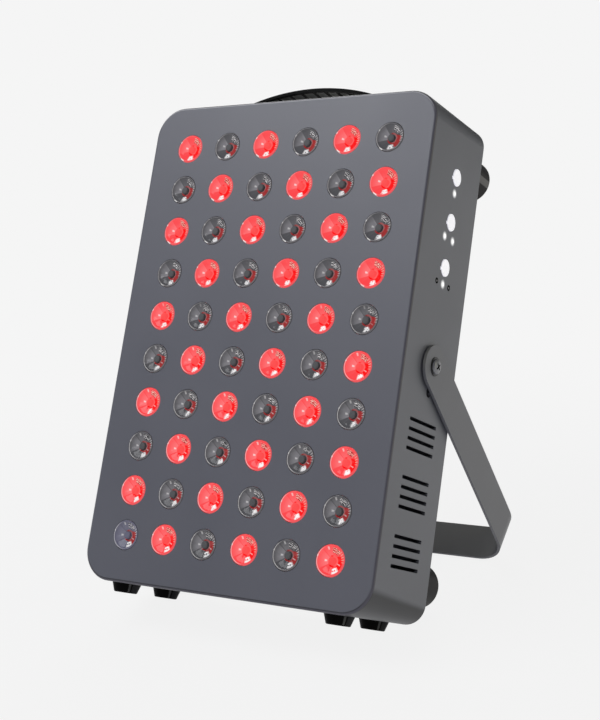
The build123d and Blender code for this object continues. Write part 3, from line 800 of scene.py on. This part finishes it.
black_plastic = finish("black_plastic", 0.010, 0.006, 0.48, grain=900.0, Specular_IOR_Level=0.2)
dress(black_plastic, "fan_frame", "fan_rotor", "push_switches")
LAMP_YELLOW, LAMP_DEEP = (0.78, 0.62, 0.18), (0.70, 0.52, 0.12)
STEEL_PALE, STEEL_DEEP = (0.60, 0.61, 0.63), (0.50, 0.51, 0.53)
BRASS_PALE, BRASS_DEEP = (0.72, 0.56, 0.26), (0.62, 0.46, 0.20)
for name, light, dark, roughness, bump, metallic, *nodes in (
    ("aluminium", (0.72, 0.72, 0.74), (0.62, 0.62, 0.64), 0.34, 0.04, 1.0, "heat_sink"),
    ("brass", BRASS_PALE, BRASS_DEEP, 0.3, 0.03, 1.0, "board_standoffs", "control_posts"),
    ("steel_case", STEEL_PALE, STEEL_DEEP, 0.38, 0.04, 1.0, "power_supply", "pivot_inserts"),
    ("board_white", (0.82, 0.83, 0.82), (0.76, 0.77, 0.76), 0.45, 0.03, 0.0, "lamp_board"),
    ("board_green", (0.03, 0.17, 0.07), (0.02, 0.13, 0.05), 0.35, 0.03, 0.0, "control_board"),
    ("lamp_package", LAMP_YELLOW, LAMP_DEEP, 0.3, 0.02, 0.0, "lamps_red", "lamps_infrared"),
):
    dress(finish(name, light, dark, roughness, bump=bump, Metallic=metallic), *nodes)


# Rear cover: a painted steel plate that drops into the housing's back against the flange, with
# long slots over the fan and a square hole for the power inlet. Eight screws hold it.
COVER_GAP, COVER_EDGE = 0.3, 0.25
GRILLE_Z, GRILLE_RADIUS = 58.0, 58.0
SLOT_HEIGHT, SLOT_PITCH, SLOT_STEPS = 3.4, 6.4, 16
INLET_Z, INLET_HOLE_WIDTH, INLET_HOLE_HEIGHT = -132.0, 27.6, 20.6
bm = bmesh.new()
inset = WALL + COVER_GAP
plate = [(inset + COVER_EDGE, BODY_DEPTH), (inset, BODY_DEPTH - COVER_EDGE), (inset, COVER_Y)]
skin(bm, through_body(body_levels(plate)))
holes = bmesh.new()
slot_half, slot_faces = SLOT_HEIGHT / 2, (COVER_Y - WALL, BODY_DEPTH + WALL)
turns = [-pi / 2 + pi * i / SLOT_STEPS for i in range(SLOT_STEPS + 1)]
half_count = int((GRILLE_RADIUS - SLOT_HEIGHT) / SLOT_PITCH)
for number in range(-half_count, half_count + 1):
    rise = number * SLOT_PITCH
    end = sqrt(GRILLE_RADIUS**2 - (abs(rise) + slot_half) ** 2) - slot_half
    ring = [(end + slot_half * cos(turn), slot_half * sin(turn)) for turn in turns]
    ring += [(-x, z) for x, z in ring[::-1]]
    skin(holes, through_body([(y, ring) for y in slot_faces], GRILLE_Z + rise))
w, h = INLET_HOLE_WIDTH / 2, INLET_HOLE_HEIGHT / 2
block(holes, (-w, slot_faces[0], INLET_Z - h), (w, slot_faces[1], INLET_Z + h))
put(shape("rear_cover_plate", bm, holes), housing_paint, "housing_paint", "rear_cover")


# Screws: black plated pan heads with a cross recess. Eight hold the cover, four the fan, and one
# each foot, bumper and handle end.
HEAD_RADIUS, HEAD_HEIGHT = 3.0, 1.6
HEAD_PROFILE = ((1, 0), (1, 0.35), (0.94, 0.62), (0.78, 0.86), (0.5, 0.98))
RECESS_FLOOR, RECESS_MOUTH = (0.28, 0.08, 0.25), (0.62, 0.15, 1.2)        # reach, half width, rise
screw_black = finish(
    "screw_black", (0.030, 0.030, 0.031), (0.018, 0.018, 0.019), 0.32, bump=0.03, Metallic=0.6
)


def cross_recess(bm, place, axis, radius, height):
    """The cutter for a head's cross, which narrows as it goes down."""
    spin = Matrix.Translation(Vector(place)) @ AXES[axis] @ Matrix.Rotation(pi / 4, 4, "Z")
    rings = []
    for reach, width, rise in (RECESS_FLOOR, RECESS_MOUTH):
        arm, half = reach * radius, width * radius
        ends = ((arm, -half), (arm, half), (half, half))
        corners = [Vector((x, y, rise * height)) for x, y in ends]
        turned = [spin @ Matrix.Rotation(turn * pi / 2, 4, "Z") for turn in range(4)]
        rings.append([matrix @ corner for matrix in turned for corner in corners])
    skin(bm, rings)


def screw_heads(name, seats, radius=HEAD_RADIUS, height=HEAD_HEIGHT):
    """Low domed heads on their seats, each a (place, axis), with their crosses cut in."""
    heads, recesses = bmesh.new(), bmesh.new()
    dome = [(radius * out, height * up) for out, up in HEAD_PROFILE] + [(TIP, height)]
    for place, axis in seats:
        lathe(heads, dome, place, axis, 32)
        cross_recess(recesses, place, axis, radius, height)
    return shape(name, heads, recesses, angle=40)


def screws(name, places, axis, node):
    """Small black screws that all go in one way."""
    heads = screw_heads(name, [(place, axis) for place in places])
    put(heads, screw_black, "steel_black", node)


FLANGE_MIDDLE = WALL + FLANGE_WIDTH / 2
COVER_SCREW_Z, COVER_SCREW_X = 62.0, 48.0
FAN_SCREW_REACH = 52.5
side, end = SIDE_X - FLANGE_MIDDLE, TOP_Z - FLANGE_MIDDLE
places = [(x, BODY_DEPTH, z) for x in (-side, side) for z in (-COVER_SCREW_Z, COVER_SCREW_Z)]
places += [(x, BODY_DEPTH, z) for x in (-COVER_SCREW_X, COVER_SCREW_X) for z in (-end, end)]
screws("cover_screw_heads", places, "y", "cover_screws")
reach = (-FAN_SCREW_REACH, FAN_SCREW_REACH)
places = [(x, BODY_DEPTH, GRILLE_Z + z) for x in reach for z in reach]
screws("fan_screw_heads", places, "y", "fan_screws")


# Power inlet: a black moulded three-pin inlet that snaps into the cover, with blade pins of
# bright nickel in a cavity that has two cut corners.
INLET_WIDTH, INLET_HEIGHT, INLET_FLANGE, INLET_CORNER, INLET_EDGE = 30.0, 23.0, 2.0, 2.0, 0.5
INLET_BODY_WIDTH, INLET_BODY_HEIGHT, INLET_BODY_DEPTH, INLET_BODY_CORNER = 27.0, 20.0, 20.0, 1.0
FLANGE_STEP = 0.01
CAVITY_WIDTH, CAVITY_HEIGHT, CAVITY_DEPTH, CAVITY_CUT = 24.0, 16.4, 16.0, 4.5
PIN_WIDTH, PIN_HEIGHT, INLET_PIN_LENGTH, PIN_SPREAD, PIN_RISE = 2.0, 4.0, 11.0, 7.0, 2.0
PIN_EDGE = 0.35
inlet_face = BODY_DEPTH + INLET_FLANGE
bm = bmesh.new()
flange, drawn = (
    rounded(inset, 5, INLET_WIDTH, INLET_HEIGHT, INLET_CORNER) for inset in (0, INLET_EDGE)
)
inner = rounded(0, 5, INLET_BODY_WIDTH, INLET_BODY_HEIGHT, INLET_BODY_CORNER)
levels = [(BODY_DEPTH - INLET_BODY_DEPTH, inner), (BODY_DEPTH, inner)]
levels += [(BODY_DEPTH + FLANGE_STEP, flange), (inlet_face - INLET_EDGE, flange)]
levels += [(inlet_face, drawn)]
skin(bm, through_body(levels, INLET_Z))
hollow = bmesh.new()
w, h, c = CAVITY_WIDTH / 2, CAVITY_HEIGHT / 2, CAVITY_CUT
ring = [(-w, -h), (w, -h), (w, h - c), (w - c, h), (c - w, h), (-w, h - c)]
cavity_y = (inlet_face - CAVITY_DEPTH, inlet_face + 1)
skin(hollow, through_body([(y, ring) for y in cavity_y], INLET_Z))
put(shape("power_inlet_body", bm, hollow), black_plastic, "black_plastic", "power_inlet")
bm = bmesh.new()
nickel = finish(
    "nickel", (0.75, 0.74, 0.70), (0.66, 0.65, 0.62), 0.25, bump=0.02, Metallic=1.0
)
for x, z in ((0, PIN_RISE), (-PIN_SPREAD, -PIN_RISE), (PIN_SPREAD, -PIN_RISE)):
    low = (x - PIN_WIDTH / 2, cavity_y[0] - 1, INLET_Z + z - PIN_HEIGHT / 2)
    high = (x + PIN_WIDTH / 2, cavity_y[0] + INLET_PIN_LENGTH, INLET_Z + z + PIN_HEIGHT / 2)
    block(bm, low, high)
put(shape("inlet_pins", bm, width=PIN_EDGE, segments=3), nickel, "steel_case")


# Feet: four tapered feet of black rubber under the bottom, each held by a screw in its recess.
# They are turned pieces with a rounded end. A painted sheen lightens their sides, and a painted
# highlight stripe runs down them.
FOOT_X, FOOT_SPREAD = 78.3, 43.6
FOOT_TOP_RADIUS, FOOT_BOTTOM_RADIUS, FOOT_HEIGHT = 9.2, 7.6, 5.9
FOOT_EDGE, FOOT_RECESS_RADIUS, FOOT_RECESS_DEPTH = 1.1, 4.0, 2.6
RUBBER_SHEEN, RUBBER_HIGHLIGHT, STRIPE_SHARE = (0.022, 0.022, 0.024), 0.13, 0.5


def posts(name, places, axis, segments, base, end, length, edge, recess):
    """Turned posts of rubber, each with a rounded end and a recess for its screw."""
    recess_radius, recess_depth = recess
    floor = length - recess_depth
    profile = [(base, 0)] + [(end - a, length - b) for a, b in edge[::-1]]
    profile += [(recess_radius, length), (recess_radius, floor), (TIP, floor)]
    bm = bmesh.new()
    for place in places:
        lathe(bm, profile, place, axis, segments)
    return shape(name, bm)


foot_y = (BODY_DEPTH / 2 - FOOT_SPREAD / 2, BODY_DEPTH / 2 + FOOT_SPREAD / 2)
foot_places = [(x, y, -TOP_Z) for x in (-FOOT_X, FOOT_X) for y in foot_y]
feet = posts(
    "rubber_feet", foot_places, "-z", 40, FOOT_TOP_RADIUS, FOOT_BOTTOM_RADIUS, FOOT_HEIGHT,
    quarter(FOOT_EDGE, 4), (FOOT_RECESS_RADIUS, FOOT_RECESS_DEPTH),
)
rubber = finish("rubber", 0.003, 0.001, 0.5, grain=1500.0, bump=0.06, Specular_IOR_Level=0.03)
net = Net(rubber.node_tree)
facing = net.facing()
sideways, backward = net.dot(facing, RIGHT), net.dot(facing, BACK)
# Painted sheen on the sides that face right and left, and a painted highlight stripe
painted_sheen = net.most(net.between(sideways, 0.84, 0.87), net.between(sideways, -0.42, -0.6))
net.overlay(painted_sheen, RUBBER_SHEEN)
highlight_stripe = net.times(
    net.hump(backward, (-0.66, -0.62), (-0.54, -0.5)), net.between(sideways, 0.6, 0.7)
)
highlight_stripe = net.most(net.times(highlight_stripe, STRIPE_SHARE), net.between(sideways, -0.74, -0.84))
net.overlay(highlight_stripe, RUBBER_HIGHLIGHT)
put(feet, rubber, "rubber", "feet")
seat = -TOP_Z - FOOT_HEIGHT + FOOT_RECESS_DEPTH
screws("foot_screw_heads", [(x, y, seat) for x, y, z in foot_places], "-z", "foot_screws")


# Bumpers: four moulded posts of black rubber on the back, each held by a screw deep in its
# recess. The panel also lies on them face up.
BUMPER_X, BUMPER_Z, BUMPER_RADIUS, BUMPER_LENGTH, BUMPER_EDGE = 85.0, 134.0, 14.0, 28.5, 1.4
BUMPER_RECESS_RADIUS, BUMPER_RECESS_DEPTH = 5.5, 20.0
BUMPER_HIGHLIGHT, HIGHLIGHT_START, HIGHLIGHT_END = (0.14, 0.137, 0.145), 0.19, 0.2
bumper_places = [(x, BODY_DEPTH, z) for x in (-BUMPER_X, BUMPER_X) for z in (-BUMPER_Z, BUMPER_Z)]
bumpers = posts(
    "rubber_bumpers", bumper_places, "y", 56, BUMPER_RADIUS, BUMPER_RADIUS, BUMPER_LENGTH,
    quarter(BUMPER_EDGE, 5), (BUMPER_RECESS_RADIUS, BUMPER_RECESS_DEPTH),
)
bumper_rubber = finish(
    "bumper_rubber", (0.0135, 0.0120, 0.0130), (0.0095, 0.0085, 0.0090), 0.4, bump=0.05,
    Specular_IOR_Level=0.09,
)
net = Net(bumper_rubber.node_tree)
facing = net.facing()
above = net.dot(net.place(), Vector((0, 0, 1)))
# A painted highlight band along the right side of the two upper bumpers
highlight_band = net.times(
    net.hump(net.dot(facing, UP), (-0.38, -0.32), (-0.06, 0.0)),
    net.between(net.dot(facing, RIGHT), 0.8, 0.9),
    net.between(above, HIGHLIGHT_START, HIGHLIGHT_END),
)
net.overlay(highlight_band, BUMPER_HIGHLIGHT)
put(bumpers, bumper_rubber, "rubber", "rear_bumpers")
seat = BODY_DEPTH + BUMPER_LENGTH - BUMPER_RECESS_DEPTH
screws("bumper_screw_heads", [(x, seat, z) for x, y, z in bumper_places], "y", "bumper_screws")


# Handle: a low moulded arch on the top, a channel with a rim along each edge and cross ribs
# under its skin, screwed down through a rounded pad at each end.
ARCH_SPAN, ARCH_RISE = 68.4, 16.5
ARCH_RADIUS = (ARCH_SPAN**2 + ARCH_RISE**2) / (2 * ARCH_RISE)
HANDLE_WIDTH, HANDLE_SKIN, RIM_DEPTH, RIM_WIDTH = 27.6, 1.5, 2.4, 2.4
RIB_COUNT, RIB_PITCH, RIB_THICKNESS, RIB_DEPTH = 9, 9.0, 2.6, 0.8
PAD_START, PAD_END, PAD_THICKNESS = 54.0, 84.0, 4.5
HANDLE_SCREW_X = 74.0
HANDLE_EDGE = 0.8
STATIONS, PAD_STEPS, PAD_EDGE, PAD_TAPER = 48, 24, 0.8, 0.05
SKIN_REACH = 0.3
SKIN_PAINTED_LIGHT, DIM_SHARE = (0.66, 0.66, 0.64), 0.35
handle_y = BODY_DEPTH / 2
arch_z = TOP_Z + ARCH_RISE - ARCH_RADIUS
half = HANDLE_WIDTH / 2
section = [(half - a, b) for a, b in quarter(HANDLE_EDGE, 4)]
section += [(half, RIM_DEPTH), (half - RIM_WIDTH, RIM_DEPTH), (half - RIM_WIDTH, HANDLE_SKIN)]
section += [(-y, depth) for y, depth in section[::-1]]
swing = asin(ARCH_SPAN / ARCH_RADIUS)
rings = []
for i in range(STATIONS + 1):
    turn = swing * (2 * i / STATIONS - 1)
    reaches = [(y, ARCH_RADIUS - depth) for y, depth in section]
    rings.append([(r * sin(turn), handle_y + y, arch_z + r * cos(turn)) for y, r in reaches])
bm = bmesh.new()
skin(bm, rings)
for number in range(RIB_COUNT):
    x = (number - (RIB_COUNT - 1) / 2) * RIB_PITCH
    skin_z = arch_z + sqrt((ARCH_RADIUS - HANDLE_SKIN) ** 2 - x**2)
    low = (x - RIB_THICKNESS / 2, handle_y - half + RIM_WIDTH / 2, skin_z - RIB_DEPTH)
    high = (x + RIB_THICKNESS / 2, handle_y + half - RIM_WIDTH / 2, skin_z + HANDLE_SKIN / 2)
    block(bm, low, high)
for side in (-1, 1):
    turns = [-pi / 2 + pi * i / PAD_STEPS for i in range(1, PAD_STEPS)]
    ring = [(PAD_START, -half), (PAD_END - half, -half)]
    ring += [(PAD_END - half + half * cos(turn), half * sin(turn)) for turn in turns]
    ring += [(PAD_END - half, half), (PAD_START, half)]
    middle = (PAD_START + PAD_END - half) / 2
    rows = []
    for z, taper in ((0, 0.0), (PAD_THICKNESS - PAD_EDGE, 0.0), (PAD_THICKNESS, PAD_TAPER)):
        drawn = [(middle + (x - middle) * (1 - taper), y * (1 - taper)) for x, y in ring]
        rows.append([(side * x, handle_y + y, TOP_Z + z) for x, y in drawn])
    skin(bm, rows)
handle = shape("handle_arch", bm, angle=40)


def keep_on_faces(thing, name, test):
    """Keep on each face, under a name, whether its middle passes a test."""
    marks = thing.data.attributes.new(name, "FLOAT", "FACE")
    for face in thing.data.polygons:
        marks.data[face.index].value = float(test(to_panel @ face.center))


def under_skin(spot):
    """Whether a place lies on the underside of the skin, between the rims."""
    drawn_in = ARCH_RADIUS - sqrt(spot.x**2 + (spot.z - arch_z) ** 2)
    between_rims = abs(spot.y - handle_y) < half - RIM_WIDTH
    return between_rims and abs(drawn_in - HANDLE_SKIN) < SKIN_REACH


keep_on_faces(handle, "under_skin", under_skin)
handle_plastic = finish("handle_plastic", 0.004, 0.003, 0.5, grain=900.0, Specular_IOR_Level=0.04)
net = Net(handle_plastic.node_tree)
# The underside of the skin is painted pale as painted light, and darker on its left as painted
# shade
lit_side = net.between(net.dot(net.place(), RIGHT), -0.04, 0.03, DIM_SHARE, 1.0)
net.overlay(net.times(net.kept("under_skin"), lit_side), SKIN_PAINTED_LIGHT)
put(handle, handle_plastic, "black_plastic", "handle")
places = [(x, handle_y, TOP_Z + PAD_THICKNESS) for x in (-HANDLE_SCREW_X, HANDLE_SCREW_X)]
screws("handle_screw_heads", places, "z", "handle_screws")


# Stand: a flat steel strap bent to a U, painted like the housing, with rounded ends. Each end
# turns about a shouldered screw in the housing's side.
STAND_ANGLE = radians(59.5)
STRAP_WIDTH, STRAP_THICKNESS, STRAP_BEND = 26.2, 1.8, 20.0
STAND_REACH = 179.4
ARM_INNER_X = 106.1
BEND_STEPS, END_STEPS, END_START = 12, 14, 0.15
STRAP_EDGE = 0.15
INNER_PAINTED_LIGHT = (0.185, 0.185, 0.183)
strap_half = STRAP_WIDTH / 2
middle_x = ARM_INNER_X + STRAP_THICKNESS / 2
bend = STRAP_BEND + STRAP_THICKNESS / 2
arm = STAND_REACH - STRAP_THICKNESS / 2 - bend
path = []
for i in range(END_STEPS):
    turn = pi / 2 * (i + END_START) / END_STEPS
    path.append((middle_x, strap_half * cos(turn), strap_half * sin(turn), Vector((1, 0, 0))))
path.append((middle_x, 0.0, strap_half, Vector((1, 0, 0))))
for i in range(BEND_STEPS + 1):
    turn = pi / 2 * i / BEND_STEPS
    out = Vector((cos(turn), 0, -sin(turn)))
    path.append((middle_x - bend + bend * cos(turn), -arm - bend * sin(turn), strap_half, out))
path += [(-x, z, width, Vector((-out.x, 0, out.z))) for x, z, width, out in path[::-1]]
rings = []
for x, z, width, out in path:
    thick, wide = out * STRAP_THICKNESS / 2, Vector((0, width, 0))
    corners = (thick + wide, thick - wide, -thick - wide, wide - thick)
    rings.append([Vector((x, 0, z)) + corner for corner in corners])
bm = bmesh.new()
skin(bm, rings)
swung = Matrix.Rotation(STAND_ANGLE, 4, "X")
bmesh.ops.transform(bm, matrix=Matrix.Translation(PIVOT) @ swung, verts=bm.verts)
stand = shape("stand_strap", bm, width=STRAP_EDGE, angle=50)
stand_paint = finish(
    "stand_paint", (0.128, 0.129, 0.150), (0.114, 0.115, 0.135), 0.45, PAINT_GRAIN, PAINT_BUMP
)
net = Net(stand_paint.node_tree)
# Painted light: the strap's inner faces, in the panel's shade, are painted lighter
inward = (lean @ swung).to_3x3() @ Vector((0, 0, 1))
inner_side = net.between(net.dot(net.facing(), inward), 0.5, 0.95)
net.overlay(inner_side, INNER_PAINTED_LIGHT)
put(stand, stand_paint, "stand_paint", "stand", body="stand")


# Pivots: a black pan-head screw and washer on each side, over a plastic spacer that holds the
# arm off the wall.
WASHER_RADIUS, WASHER_THICKNESS, WASHER_EDGE = 5.8, 0.5, 0.12
PIVOT_HEAD_RADIUS, PIVOT_HEAD_HEIGHT = 4.6, 1.9
SPACER_RADIUS, SPACER_THICKNESS = 9.0, 1.0
PIVOT_HOLE_RADIUS, PIVOT_PLAY = 2.6, 0.1
RECESS_TOP, RECESS_REACH = 0.84, 0.66        # shares of the head's height and radius
washer_x = ARM_INNER_X + STRAP_THICKNESS + PIVOT_PLAY
head_x = washer_x + WASHER_THICKNESS
hole, rim, top = PIVOT_HOLE_RADIUS, WASHER_RADIUS - WASHER_EDGE, WASHER_THICKNESS - WASHER_EDGE
washer = [(hole, 0), (WASHER_RADIUS, 0), (WASHER_RADIUS, top), (rim, WASHER_THICKNESS)]
washer += [(hole, WASHER_THICKNESS)]
spacer = [(hole, 0), (SPACER_RADIUS, 0), (SPACER_RADIUS, SPACER_THICKNESS)]
spacer += [(hole, SPACER_THICKNESS)]
SIDES = ((1, "x"), (-1, "-x"))
seats = [((side * head_x, PIVOT.y, PIVOT.z), axis) for side, axis in SIDES]
pivot_heads = screw_heads("pivot_screw_heads", seats, PIVOT_HEAD_RADIUS, PIVOT_HEAD_HEIGHT)


def in_recess(spot):
    """Whether a place lies in the cross of a pivot's head."""
    aside = sqrt((spot.y - PIVOT.y) ** 2 + (spot.z - PIVOT.z) ** 2)
    deep = abs(spot.x) - head_x < PIVOT_HEAD_HEIGHT * RECESS_TOP
    return deep and aside < PIVOT_HEAD_RADIUS * RECESS_REACH


keep_on_faces(pivot_heads, "recess", in_recess)
pivot_steel = finish(
    "pivot_steel", (0.20, 0.20, 0.225), (0.17, 0.17, 0.19), 0.34, bump=0.03, Metallic=0.2
)
net = Net(pivot_steel.node_tree)
# Painted shade: the faces in the cross of each pivot's head are painted near black
net.overlay(net.kept("recess"), 0.002)
put(pivot_heads, pivot_steel, "steel_black", "pivot_screws")
for name, profile, x, material, slot, node in (
    ("pivot_washer_rings", washer, washer_x, screw_black, "steel_black", "pivot_washers"),
    ("pivot_spacer_rings", spacer, SIDE_X, black_plastic, "black_plastic", "pivot_spacers"),
):
    bm = bmesh.new()
    for side, axis in SIDES:
        lathe(bm, profile, (side * x, PIVOT.y, PIVOT.z), axis, 48)
    put(shape(name, bm), material, slot, node)


# Camera: where the photograph was taken from, solved in the panel's own upright axes.
CAMERA_PLACE = Vector((465.55, -688.31, -156.83))
CAMERA_RIGHT = Vector((0.85215, 0.50302, 0.14424))
CAMERA_DOWN = Vector((0.03192, 0.22516, -0.97380))
LENS_MM, SENSOR_MM = 68.0, 36.0
camera_back = -CAMERA_RIGHT.cross(CAMERA_DOWN)
turned = Matrix((CAMERA_RIGHT, -CAMERA_DOWN, camera_back)).transposed().to_4x4()
camera_data = bpy.data.cameras.new("camera")
camera_data.lens = LENS_MM
camera_data.sensor_width = SENSOR_MM
camera = add("camera", camera_data)
camera.matrix_world = lean @ turned
camera.location = panel @ CAMERA_PLACE
bpy.context.scene.camera = camera


# Studio: a pale floor that keeps the panel's soft shadow and fades into the backdrop's colour,
# a large soft light above the front, and weaker ones at the right, low in front and behind. The
# low one only fills, and leaves no bright spot on the gloss.
BACKDROP, ROOM_LIGHT, FLOOR_PAPER = 0.913, (0.180, 0.184, 0.192), 0.90
FLOOR_SIZE, FLOOR_DROP, FLOOR_SHINE = 12.0, 0.0002, 0.94
scene = bpy.context.scene
scene.view_settings.view_transform = "Standard"
world = bpy.data.worlds.new("studio")
scene.world = world
world.use_nodes = True
net = Net(world.node_tree)
rays = world.node_tree.nodes.new("ShaderNodeLightPath").outputs
seen = net.most(rays["Is Camera Ray"], rays["Is Transmission Ray"])
background = world.node_tree.nodes["Background"]
net.join(net.blend(seen, ROOM_LIGHT, BACKDROP), background.inputs["Color"])

bm = bmesh.new()
bmesh.ops.create_grid(bm, x_segments=1, y_segments=1, size=FLOOR_SIZE)
mesh = bpy.data.meshes.new("floor")
bm.to_mesh(mesh)
bm.free()
floor = add("floor", mesh)
floor.location.z = solid_box[0].z - FLOOR_DROP
floor_paper, net = new_material("floor_paper")
tree = net.tree
tree.nodes.remove(net.end)
away = net.vector("LENGTH", net.place())
rays = tree.nodes.new("ShaderNodeLightPath").outputs
plain = net.between(away, 0.25, 0.75, FLOOR_SHINE, 1.0)
share = net.times(plain, net.most(rays["Is Camera Ray"], rays["Is Glossy Ray"]))
matt = net.node("BsdfDiffuse", Color=colour(FLOOR_PAPER))
glow = net.node("Emission", Color=colour(BACKDROP))
mixed = net.node("MixShader", i0=share, i1=matt, i2=glow)
net.join(mixed, tree.nodes["Material Output"].inputs["Surface"])
mesh.materials.append(floor_paper)


def soft_light(name, place, aim, size, watts, tone=(1.0, 1.0, 1.0), shines=True):
    """A square soft light at a place, turned to the point that it aims at."""
    data = bpy.data.lights.new(name, "AREA")
    data.shape = "RECTANGLE"
    data.size, data.size_y = size
    data.energy = watts
    data.color = tone
    lamp = add(name, data)
    lamp.location = place
    lamp.rotation_mode = "QUATERNION"
    lamp.rotation_quaternion = (Vector(aim) - Vector(place)).to_track_quat("-Z", "Y")
    lamp.visible_glossy = shines


LIGHT_AIM = (0, 0, 0.2)
soft_light(
    "top_front_light", (-0.55, -0.55, 1.25), LIGHT_AIM, (1.3, 0.5), 10.3, (0.97, 0.98, 1.0)
)
soft_light("right_light", (1.5, 0.35, 0.45), (0, 0.05, 0.15), (0.8, 1.1), 4.7, (1.0, 0.97, 0.62))
soft_light("low_fill_light", (0.65, -1.4, 0.25), (0, 0, 0.15), (0.8, 0.4), 4.3, shines=False)
soft_light("back_light", (-0.5, 1.2, 0.9), LIGHT_AIM, (0.9, 0.7), 7.0)
